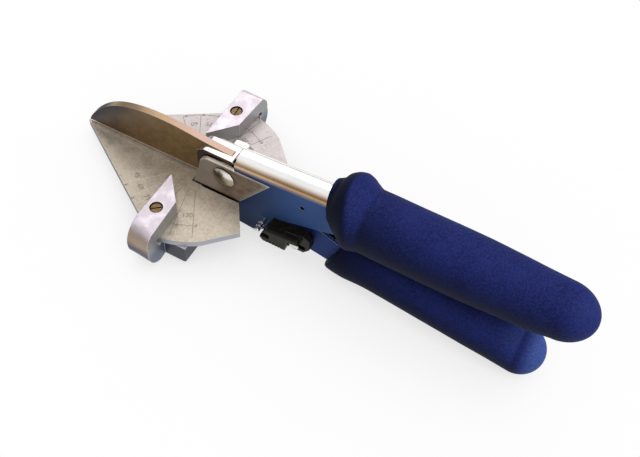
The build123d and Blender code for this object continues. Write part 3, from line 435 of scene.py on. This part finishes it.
def blade_look():
    """Tool steel with a painted reflection, navy, brown and gold, on its faces, and a ground edge."""
    look = Look("blade_steel", Metallic=1.0)
    x, z = look.axis("X"), look.axis("Z")
    drift = look.times(look.math("SUBTRACT", look.noise(14.0, 4.0), 0.5), REFLECTION_DRIFT)
    along = look.plus(look.plus(x, look.times(z, REFLECTION_LEAN)), drift)
    rub = look.noise(4.0, 5.0, stretch=(0.4, 1.0, 1.0))
    stain = look.patches((0.40, 0.66), 2.6, 6.0, roughness=0.7)
    # painted reflection on the faces: brown and gold, navy towards the tip
    face = look.mix(look.step(along, GOLD_LENGTH), look.mix(rub, *BLADE_BROWN), look.mix(rub, *BLADE_GOLD))
    face = look.over(face, BLADE_STAIN, stain, 0.35)
    face = look.over(face, BLADE_NAVY, look.step(along, NAVY_LENGTH))
    up = look.facing("Z")
    tip = look.step(x, SPINE_TIP)
    spine = look.mix(look.noise(3.0, 4.0, stretch=(0.3, 1.0, 1.0)), *BLADE_SPINE)
    spine = look.over(spine, BLADE_SPINE_HEEL, look.step(x, SPINE_HEEL))
    spine = look.over(spine, BLADE_SPINE_TIP, tip)
    color = look.over(face, spine, look.step(up, SPINE_SLOPE))
    color = look.over(color, BLADE_GROUND, look.step(z, GROUND_TOP))
    color = look.over(color, BLADE_EDGE, look.worn_edge(0.2), 0.5)
    # the tip's spine is matt
    matt = look.times(tip, look.step(up, TIP_SLOPE))
    streak = look.noise(0.3, 3.0, stretch=(0.05, 1.0, 1.0))
    rough = look.blend(streak, 0.30, 0.42)
    look.paint(color, look.blend(matt, rough, 0.70), look.blend(matt, 1.0, 0.2))
    look.relief(streak, 0.01, edge=0.15)
    return look.material


WORN_PLATING = (0.9, 0.88, 0.85)
PLATING_SHADE = 0.72            # share of its colour that the darker plating keeps


def plated_look(name, color, rough, wear=0.6):
    """Small turned or plated parts."""
    look = Look(name, Metallic=1.0)
    fine = look.noise(0.5, 3.0)
    dark = tuple(PLATING_SHADE * channel for channel in color)
    body = look.mix(look.patches((0.35, 0.7), 1.6, 4.0), dark, color)
    body = look.over(body, WORN_PLATING, look.worn_edge(0.2), wear)
    look.paint(body, look.blend(fine, rough, rough + 0.10))
    look.relief(fine, 0.008, edge=0.2)
    return look.material


BOLT_FACE = ((0.15, 0.115, 0.07), (0.26, 0.21, 0.145))
BOLT_HIGHLIGHT = (0.80, 0.76, 0.72)
BOLT_EDGE_SHADOW = (0.020, 0.018, 0.018)
BOLT_RIM = (4.0, 5.6)           # distance from the bolt's axis
BOLT_HIGHLIGHT_SLOPE = (0.0, 0.42)
BOLT_SHADOW_SLOPE = (0.75, 0.45)


def bolt_look():
    """Olive brown domed head, with a painted highlight on its upper rear side and a painted shadow on its
    upright edge.
    """
    look = Look("bolt_steel", Metallic=1.0)
    bolt = middle("pivot_bolt")
    rim = look.step(look.from_line(look.axis("X"), look.axis("Z"), (bolt.x, bolt.z)), BOLT_RIM)
    smear = look.patches((0.35, 0.68), 5.0, 4.0)
    toward = look.plus(look.facing("X"), look.times(look.facing("Z"), 0.5))
    # painted highlight on the upper rear side and the rim, painted shadow on the upright edge
    lit = look.most(look.step(toward, BOLT_HIGHLIGHT_SLOPE), look.times(rim, 0.25))
    color = look.over(look.mix(smear, *BOLT_FACE), BOLT_HIGHLIGHT, lit)
    color = look.over(color, BOLT_EDGE_SHADOW, look.step(look.unsigned(look.facing("Y")), BOLT_SHADOW_SLOPE))
    look.paint(color, look.blend(smear, 0.17, 0.24))
    look.relief(look.noise(0.8, 3.0), 0.002, edge=0.2)
    return look.material


PLASTIC = ((0.0045, 0.004, 0.0025), (0.012, 0.0105, 0.006))
PLASTIC_EDGE = (0.10, 0.095, 0.085)


def plastic_look():
    """Black moulded plastic with a fine texture and dusty edges."""
    look = Look("black_plastic", Specular_IOR_Level=0.16)
    dust = look.patches((0.45, 0.75), 2.2, 5.0)
    color = look.over(look.mix(dust, *PLASTIC), PLASTIC_EDGE, look.worn_edge(0.3), 0.6)
    look.paint(color, look.blend(dust, 0.38, 0.55))
    look.relief(look.noise(0.35, 3.0), 0.03, edge=0.35)
    return look.material


VINYL = ((0.0034, 0.0066, 0.056), (0.0070, 0.0125, 0.090))
VINYL_FLECK = (0.0145, 0.0250, 0.155)
VINYL_SHADE = ((0.0006, 0.0016, 0.007), (0.0022, 0.0050, 0.024))
VINYL_END_LIGHT = (0.044, 0.082, 0.285)
VINYL_SHEEN = (0.2, 0.35, 1.0)
UNDER_SLOPE = (-0.25, 0.62)
FRONT_SLOPE = (0.95, 0.35)
END_SLOPE = (0.05, 0.7)
GRIP_FRONT = (126.0, 80.0)
GRIP_END = (160.0, 185.0)
LOWER_GRIP = (3.0, -6.0)        # the height between the two grips' ends
SEAM = (0.30, 0.08)


def grip_look():
    """Soft blue vinyl: matte, with a fine pebble and a faint mould line."""
    look = Look("blue_grip", Specular_IOR_Level=0.12, Sheen_Weight=0.02, Sheen_Roughness=0.5,
                Sheen_Tint=VINYL_SHEEN)
    x = look.axis("X")
    fleck = look.patches((0.38, 0.64), 0.85, 4.0, roughness=0.65)
    fine = look.noise(0.7, 3.0)
    color = look.mix(look.patches((0.30, 0.72), 16.0, 4.0), *VINYL)
    color = look.over(color, VINYL_FLECK, fleck, 0.7)
    # painted shade underneath and towards the front
    up = look.plus(look.times(look.facing("Z"), 0.7), look.times(look.facing("X"), 0.9))
    dark = look.mix(fleck, *VINYL_SHADE)
    color = look.mix(look.step(up, UNDER_SLOPE), dark, color)
    front = look.times(look.step(x, GRIP_FRONT), 0.85)
    color = look.over(color, dark, look.times(front, look.step(up, FRONT_SLOPE)))
    # painted light on the domed ends, most on the lower one
    end = look.times(look.step(look.facing("X"), END_SLOPE), look.step(x, GRIP_END))
    end = look.times(end, look.blend(look.step(look.axis("Z"), LOWER_GRIP), 0.05, 0.95))
    color = look.over(color, VINYL_END_LIGHT, look.times(end, look.blend(fleck, 0.6, 1.0)))
    look.paint(color, look.blend(fine, 0.62, 0.80))
    seam = look.step(look.unsigned(look.axis("Y")), SEAM)
    look.relief(look.plus(fine, look.times(seam, 1.5)), 0.05)
    return look.material


INK = ((0.13, 0.10, 0.08), (0.32, 0.265, 0.22))
INK_BRIGHT = ((0.62, 0.55, 0.46), (0.85, 0.79, 0.70))
AHEAD = (-1.0, -3.0)


def ink_look(name, bright):
    """Engraving filled with dark dirt, or bright ahead of the near fence by the share bright."""
    look = Look(name, Metallic=0.3)
    wear = look.patches((0.35, 0.70), 1.5, 4.0)
    ahead = look.times(look.step(look.axis("X"), AHEAD), look.step(look.axis("Y"), AHEAD))
    color = look.over(look.mix(wear, *INK), look.mix(wear, *INK_BRIGHT), look.times(ahead, bright))
    look.paint(color, look.blend(wear, 0.45, 0.6))
    look.relief(look.noise(0.3, 2.0), 0.01)
    return look.material


MATERIALS = {
    "anvil_alloy": anvil_look(),
    "fence_alloy": fence_look(),
    "polished_steel": channel_look(),
    "lever_steel": lever_look(),
    "blade_steel": blade_look(),
    "fastener_steel": plated_look("fastener_steel", (0.78, 0.77, 0.75), 0.14),
    "bolt_steel": bolt_look(),
    "peg_steel": plated_look("peg_steel", (0.92, 0.92, 0.92), 0.22),
    "oxide_steel": plated_look("oxide_steel", (0.055, 0.036, 0.030), 0.45, wear=0.04),
    "bronze": plated_look("bronze", (0.55, 0.36, 0.18), 0.30),
    "brass": plated_look("brass", (0.23, 0.145, 0.062), 0.36),
    "spring_steel": plated_look("spring_steel", (0.40, 0.40, 0.42), 0.30),
    "black_plastic": plastic_look(),
    "blue_grip": grip_look(),
    "engraving": ink_look("engraving", 0.0),
    "engraved_lines": ink_look("engraved_lines", 0.9),
}

# looks that differ from the slot's own
OWN_LOOKS = {"lower_lever": "lever_steel", "pivot_bolt": "bolt_steel", "latch_peg": "peg_steel",
             "spring_pin": "oxide_steel", "spring_cup": "oxide_steel"}
SLOTS = {part["node"]: part["material_slot"] for part in frame["record"]["subparts"]}
for node, thing in frame["nodes"].items():
    look_name = OWN_LOOKS.get(node, SLOTS[node])
    thing.data.materials.clear()
    thing.data.materials.append(MATERIALS[look_name])


# ---------------------------------------------------------------- meshes

def placed(thing_name, data):
    """New object in the scene."""
    thing = bpy.data.objects.new(thing_name, data)
    bpy.context.scene.collection.objects.link(thing)
    return thing


def mesh_piece(name, points, faces, material, smooth=True):
    mesh = bpy.data.meshes.new(name)
    mesh.from_pydata([Vector(point) for point in points], [], faces)
    mesh.update()
    for face in mesh.polygons:
        face.use_smooth = smooth
    mesh.materials.append(material)
    return placed(name, mesh)


def finished(piece, body, replaced=None):
    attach(piece, body)
    if replaced:
        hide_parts(replaced)


def tube_faces(rings, sides):
    """Faces between rings of points that follow one another."""
    faces = []
    for row in range(rings - 1):
        for i in range(sides):
            j = (i + 1) % sides
            near, far = row * sides, (row + 1) * sides
            faces.append((near + i, near + j, far + j, far + i))
    return faces


# ---------------------------------------------------------------- grips

# Stations: x, axis height, half width, half height
UPPER_STATIONS = (
    (76.0, 25.8, 8.1, 11.5), (77.2, 24.8, 9.4, 11.9), (79.0, 24.6, 10.9, 13.1),
    (81.0, 25.4, 13.0, 15.3), (83.0, 25.2, 14.2, 17.1), (85.0, 24.8, 15.2, 18.5),
    (87.5, 23.5, 16.9, 19.0), (89.5, 22.1, 17.3, 18.6), (92.0, 21.2, 16.4, 17.6),
    (96.0, 20.5, 14.9, 16.7), (102.0, 20.4, 15.1, 16.6), (117.0, 20.1, 15.1, 16.6),
    (132.0, 20.0, 15.2, 16.5), (146.0, 19.9, 15.1, 16.4), (165.0, 19.8, 14.4, 15.6),
    (178.0, 19.4, 14.0, 15.0), (188.0, 20.0, 12.9, 14.8))
LOWER_STATIONS = (
    (80.2, -10.7, 11.1, 11.8), (85.0, -10.7, 12.2, 12.4), (90.0, -10.6, 12.8, 12.7),
    (98.0, -10.4, 12.7, 13.0), (108.0, -11.0, 13.0, 13.3), (120.0, -12.1, 13.4, 13.6),
    (135.0, -14.0, 13.7, 13.8), (150.0, -16.5, 13.6, 13.9), (165.0, -19.7, 12.9, 13.9),
    (177.0, -23.6, 11.7, 13.7))
UPPER_END = 16.6                # length of the domed end
LOWER_END = 12.7
UPPER_FRONT_LEAN = 0.0          # run back for each unit of rise
LOWER_FRONT_LEAN = 0.436        # square to the lever
LEAN_FADE = 12.0                # sections behind the front turn upright over this length
LIP_ROUND = 1.2                 # rounding of a grip's front lip
LIP_STEPS = 7
LIP_SHARES = (0.25, 0.55, 0.8)  # inner rings of the front face
DOME_STEPS = 24
DOME_TIP = 0.02                 # the tip stands this far beyond the last ring
GRIP_SEGMENTS = 96
GRIP_ROWS = 150


def smooth_table(stations, count):
    """Rows between the stations, on a monotone cubic in each column."""
    table = np.array(stations, float)
    x = table[:, 0]
    out_x = np.linspace(x[0], x[-1], count)
    index = np.clip(np.searchsorted(x, out_x) - 1, 0, len(x) - 2)
    width = x[index + 1] - x[index]
    t = (out_x - x[index]) / width
    columns = [out_x]
    for column in range(1, table.shape[1]):
        y = table[:, column]
        slope = np.diff(y) / np.diff(x)
        tangent = np.zeros(len(x))
        tangent[0], tangent[-1] = slope[0], slope[-1]
        for i in range(1, len(x) - 1):
            if slope[i - 1] * slope[i] > 0:
                tangent[i] = 2 * slope[i - 1] * slope[i] / (slope[i - 1] + slope[i])
        values = y[index] * (2 * t**3 - 3 * t**2 + 1) + y[index + 1] * (3 * t**2 - 2 * t**3)
        values += tangent[index] * width * (t**3 - 2 * t**2 + t)
        values += tangent[index + 1] * width * (t**3 - t**2)
        columns.append(values)
    return np.stack(columns, 1)


def ring(x, z, width, height, lean):
    """One oval section of a grip, leaning back with height."""
    points = []
    for i in range(GRIP_SEGMENTS):
        angle = 2 * math.pi * i / GRIP_SEGMENTS
        rise = height * math.sin(angle)
        points.append(mm(x + lean * rise, width * math.cos(angle), z + rise))
    return points


def lip(first):
    """Sections that close the front: a flat face and a rounded lip."""
    x, z, width, height = first
    sections = [(x, z, width * share, height * share) for share in LIP_SHARES]
    for step in range(LIP_STEPS):
        angle = math.pi / 2 * step / LIP_STEPS
        inset = LIP_ROUND * (1 - math.sin(angle))
        back = LIP_ROUND * (1 - math.cos(angle))
        sections.append((x + back, z, width - inset, height - inset))
    return sections


def dome(last, length):
    """Sections of the rounded end."""
    x, z, width, height = last
    sections = []
    for step in range(1, DOME_STEPS):
        angle = math.pi / 2 * step / DOME_STEPS
        shrink = math.cos(angle)
        sections.append((x + length * math.sin(angle), z, width * shrink, height * shrink))
    return sections


def grip(name, stations, end_length, front_lean):
    """Moulded sleeve: front lip, body through its stations, domed end."""
    rows = [tuple(row) for row in smooth_table(stations, GRIP_ROWS)]
    front = rows[0][0]
    body = [row for row in rows if row[0] > front + LIP_ROUND]
    sections = lip(rows[0]) + body + dome(rows[-1], end_length)
    points = []
    for section in sections:
        fade = max(0.0, 1 - (section[0] - front) / LEAN_FADE)
        points += ring(*section, front_lean * fade)
    faces = tube_faces(len(sections), GRIP_SEGMENTS)
    faces.append(tuple(reversed(range(GRIP_SEGMENTS))))
    last, tip = len(points) - GRIP_SEGMENTS, len(points)
    points.append(mm(sections[-1][0] + DOME_TIP, 0, sections[-1][1]))
    faces += [(last + i, last + (i + 1) % GRIP_SEGMENTS, tip) for i in range(GRIP_SEGMENTS)]
    return mesh_piece(name, points, faces, MATERIALS["blue_grip"])


upper_sleeve = grip("upper_grip_sleeve", UPPER_STATIONS, UPPER_END, UPPER_FRONT_LEAN)
finished(upper_sleeve, "frame", "upper_grip")
lower_sleeve = grip("lower_grip_sleeve", LOWER_STATIONS, LOWER_END, LOWER_FRONT_LEAN)
finished(lower_sleeve, "blade_lever", "lower_grip")


# ---------------------------------------------------------------- return spring

SPRING_MEAN = 2.6               # radius of the coil at the wire's middle
SPRING_TURNS = 9
SPRING_FLAT = 0.75              # turns that lie flat at each end
SPRING_POINTS_PER_TURN = 32
SPRING_SIDES = 12


def spring():
    """Coil between the frame's cup and the lever's stud. The real spring stretches as the handles open;
    this coil stays as it is at rest.
    """
    low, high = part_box("return_spring")
    mean = SPRING_MEAN * MM
    wire = (high.x - low.x) / 2 - mean
    x, y = (low.x + high.x) / 2, (low.y + high.y) / 2
    bottom, top = low.z + wire, high.z - wire
    count = SPRING_TURNS * SPRING_POINTS_PER_TURN
    points = []
    for i in range(count + 1):
        turns = SPRING_TURNS * i / count
        climb = (turns - SPRING_FLAT) / (SPRING_TURNS - 2 * SPRING_FLAT)
        rise = bottom + (top - bottom) * min(max(climb, 0.0), 1.0)
        turn = 2 * math.pi * turns
        out = Vector((math.cos(turn), math.sin(turn), 0))
        for k in range(SPRING_SIDES):
            side = 2 * math.pi * k / SPRING_SIDES
            points.append(Vector((x, y, rise)) + out * (mean + wire * math.cos(side))
                          + Vector((0, 0, wire * math.sin(side))))
    faces = tube_faces(count + 1, SPRING_SIDES)
    faces.append(tuple(range(SPRING_SIDES)))
    faces.append(tuple(reversed(range(count * SPRING_SIDES, (count + 1) * SPRING_SIDES))))
    piece = mesh_piece("return_spring_coil", points, faces, MATERIALS["spring_steel"])
    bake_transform(piece)
    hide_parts("return_spring")


spring()


# ---------------------------------------------------------------- scale on the plate

SCALE_STEP = 15.0               # degrees between settings
SCALE_SETTINGS = ((-2, "120"), (-1, "105"), (0, "90"), (1, "75"), (2, "60"), (3, "45"))
ARC_RADIUS = 35.5
ARC_POINTS_PER_STEP = 8
RAY_START = 14.0
RAY_END = 42.5
NOSE_EDGE = (-67.0, 0.648)      # where a nose edge's line meets the axis, and its slope
RAY_INSET = 1.5                 # rays end this far inside the nose edge
TEXT_RADIUS = 29.5
TEXT_TURN = 6.0                 # degrees from a number's ray to its middle
TEXT_SIZE = 3.6
TEXT_HEIGHT = 0.01
TEXT_CURVE_POINTS = 3
LINE_WIDTH = 0.26
INLAY = 0.03                    # engraving fill, proud of the plate's top


def strip(points, width):
    """Flat band along points, just over the plate."""
    verts, faces = [], []
    for i, point in enumerate(points):
        before, after = points[max(i - 1, 0)], points[min(i + 1, len(points) - 1)]
        along = Vector((after[0] - before[0], after[1] - before[1], 0)).normalized()
        across = Vector((-along.y, along.x, 0)) * width / 2
        for side in (1, -1):
            verts.append((Vector((*point, INLAY)) + side * across) * MM)
    for i in range(len(points) - 1):
        faces.append((2 * i, 2 * i + 1, 2 * i + 3, 2 * i + 2))
    return verts, faces


def ray_end(angle):
    """How far a ray runs before the scale's rim or the nose edge."""
    edge_x, slope = NOSE_EDGE
    reach = -edge_x * slope / (math.sin(angle) - slope * math.cos(angle))
    return min(RAY_END, reach - RAY_INSET)


def on_plate(side, radius, angle):
    """Place on the plate's far (side 1) or near (side -1) half, at an angle from +X."""
    return radius * math.cos(angle), side * radius * math.sin(angle)


def setting_angle(setting):
    return math.radians(90 + setting * SCALE_STEP)


def scale_lines(side):
    """Rays at the fence settings and the arc that joins them."""
    runs = []
    for setting, _ in SCALE_SETTINGS:
        angle = setting_angle(setting)
        runs.append([on_plate(side, radius, angle) for radius in (RAY_START, ray_end(angle))])
    first, last = SCALE_SETTINGS[0][0], SCALE_SETTINGS[-1][0]
    steps = range(first * ARC_POINTS_PER_STEP, last * ARC_POINTS_PER_STEP + 1)
    runs.append([on_plate(side, ARC_RADIUS, setting_angle(step / ARC_POINTS_PER_STEP)) for step in steps])
    verts, faces = [], []
    for run in runs:
        more_verts, more_faces = strip(run, LINE_WIDTH)
        faces += [tuple(i + len(verts) for i in face) for face in more_faces]
        verts += more_verts
    if side < 0:
        faces = [tuple(reversed(face)) for face in faces]
    name = "scale_lines_far" if side > 0 else "scale_lines_near"
    piece = mesh_piece(name, verts, faces, MATERIALS["engraved_lines"], smooth=False)
    finished(piece, "frame")


def scale_number(side, setting, words):
    """A plain number beside its ray, read from outside the plate."""
    curve = bpy.data.curves.new(f"scale_{words}_{'far' if side > 0 else 'near'}", "FONT")
    curve.body = words
    curve.size = TEXT_SIZE * MM
    curve.align_x = "CENTER"
    curve.align_y = "CENTER"
    curve.extrude = TEXT_HEIGHT * MM
    curve.resolution_u = TEXT_CURVE_POINTS
    curve.materials.append(MATERIALS["engraving"])
    x, y = on_plate(side, TEXT_RADIUS, setting_angle(setting) + math.radians(TEXT_TURN))
    turn = math.atan2(y, x) + math.pi / 2
    number = placed(curve.name, curve)
    number.matrix_world = Matrix.Translation(mm(x, y, INLAY)) @ Matrix.Rotation(turn, 4, "Z")
    finished(number, "frame")


for side in (1, -1):
    scale_lines(side)
    for setting, words in SCALE_SETTINGS:
        scale_number(side, setting, words)


# ---------------------------------------------------------------- floor

FLOOR_SIZE = 60_000.0
FLOOR_BOUNCE = (0.40, 0.40, 0.40)   # floor colour for the light that it throws back
FLOOR_WHITE = (0.995, 1.0)          # share of the world's white that the bare floor shows
SHADOW_DEPTH = 0.45                 # share of the floor's white that the object can shade
SHADOW_REACH = 150.0                # how far off the object still shades the floor
SHADOW_FALL = 1.7                   # above 1 the shadow draws in towards the object
SHADOW_SAMPLES = 8
GRIP_BEHIND = 100.0                 # the lower grip's foot is further behind the fences than this


def resting_floor():
    """Pale floor under the fences' front corners and the lower grip. Returns its normal."""
    low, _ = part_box("near_fence")
    points = np.array([v.co for v in frame["nodes"]["lower_grip"].data.vertices])
    behind = points[points[:, 0] > low.x + GRIP_BEHIND * MM]
    slope = ((behind[:, 2] - low.z) / (behind[:, 0] - low.x)).min()
    bpy.ops.mesh.primitive_plane_add(size=FLOOR_SIZE * MM)
    floor = bpy.context.object
    floor.name = "studio_floor"
    tilt = Matrix.Rotation(-math.atan(slope), 4, "Y")
    floor.matrix_world = Matrix.Translation((low.x, 0, low.z)) @ tilt
    floor.data.materials.append(floor_look())
    return tilt @ Vector((0, 0, 1))


def floor_look():
    """Clear to the eye but for the object's soft shadow, so that a handle below it still shows."""
    look = Look("studio_floor", Roughness=0.9, Specular_IOR_Level=0.1)
    look.paint(FLOOR_BOUNCE)
    below = look.node("ShaderNodeNewGeometry").outputs["Backfacing"]
    sky = look.node("ShaderNodeAmbientOcclusion", {"samples": SHADOW_SAMPLES}, Distance=SHADOW_REACH * MM)
    hidden = look.math("POWER", look.math("SUBTRACT", 1.0, sky.outputs["AO"]), SHADOW_FALL)
    tone = look.times(look.blend(look.noise(30.0, 3.0), *FLOOR_WHITE),
                      look.blend(hidden, 1.0, 1.0 - SHADOW_DEPTH))
    clear = look.node("ShaderNodeBsdfTransparent", Color=look.most(tone, below)).outputs[0]
    mixed = look.node("ShaderNodeMixShader", _0=look.most(below, look.watched()),
                      _1=look.shader.outputs[0], _2=clear)
    look.put(look.nodes["Material Output"].inputs["Surface"], mixed.outputs[0])
    return look.material


# ---------------------------------------------------------------- light and camera

SKY_TINT = (1.0, 0.985, 0.97)
SKY_HEIGHT = (0.20, 0.80)           # the dome brightens between these heights of its direction
SKY_STRENGTH = (0.22, 0.90)

# Lamps: name, place and aim in metres, size in metres, watts
SOFTBOXES = (
    ("key_softbox", (1.0, -0.10, 0.62), (0.10, 0, 0), (0.8, 0.6), 9.0),
    ("back_softbox", (-0.25, 0.85, 0.75), (0.05, 0, 0), (1.2, 1.2), 5.0))


def world_light(floor_normal):
    """Soft dome, brighter overhead; white where it is seen through the floor."""
    world = bpy.data.worlds.new("studio")
    bpy.context.scene.world = world
    sky = Tree(world)
    direction = sky.node("ShaderNodeTexCoord").outputs["Generated"]
    height = sky.node("ShaderNodeSeparateXYZ", Vector=direction).outputs["Z"]
    dome = sky.node("ShaderNodeMapRange", {"interpolation_type": "SMOOTHSTEP"}, Value=height,
                    From_Min=SKY_HEIGHT[0], From_Max=SKY_HEIGHT[1],
                    To_Min=SKY_STRENGTH[0], To_Max=SKY_STRENGTH[1]).outputs[0]
    off_floor = sky.node("ShaderNodeVectorMath", {"operation": "DOT_PRODUCT"}, _0=direction,
                         _1=floor_normal)
    through_floor = sky.math("LESS_THAN", off_floor.outputs["Value"], 0.0)
    white = sky.times(sky.watched(), through_floor)
    background = sky.nodes["Background"].inputs
    sky.put(background["Color"], sky.mix(white, SKY_TINT, (1.0, 1.0, 1.0)))
    sky.put(background["Strength"], sky.blend(white, dome, 1.0))


def softbox(name, place, aim, size, power):
    light = bpy.data.lights.new(name, "AREA")
    light.shape = "RECTANGLE"
    light.size, light.size_y = size
    light.energy = power
    turn = (Vector(aim) - Vector(place)).to_track_quat("-Z", "Y").to_matrix().to_4x4()
    placed(name, light).matrix_world = Matrix.Translation(place) @ turn


def camera():
    azimuth, elevation = math.radians(CAMERA_AZIMUTH), math.radians(CAMERA_ELEVATION)
    back = Vector((math.sin(azimuth) * math.cos(elevation), -math.cos(azimuth) * math.cos(elevation),
                   math.sin(elevation)))
    right = Vector((math.cos(azimuth), math.sin(azimuth), 0))
    up = back.cross(right)
    roll = math.radians(CAMERA_ROLL)
    right, up = (math.cos(roll) * right + math.sin(roll) * up,
                 -math.sin(roll) * right + math.cos(roll) * up)
    place = (right * CAMERA_SHIFT[0] + up * CAMERA_SHIFT[1] + back * CAMERA_DISTANCE) * MM
    data = bpy.data.cameras.new("photo_camera")
    data.sensor_width = SENSOR_WIDTH
    data.sensor_fit = "HORIZONTAL"
    data.lens = FOCAL_PIXELS / IMAGE_WIDTH * SENSOR_WIDTH
    data.clip_start = CLIP_START * MM
    shot = placed("photo_camera", data)
    shot.matrix_world = Matrix.Translation(place) @ Matrix((right, up, back)).transposed().to_4x4()
    bpy.context.scene.camera = shot


world_light(resting_floor())
for softbox_values in SOFTBOXES:
    softbox(*softbox_values)
camera()
bpy.context.scene.view_settings.view_transform = "Standard"
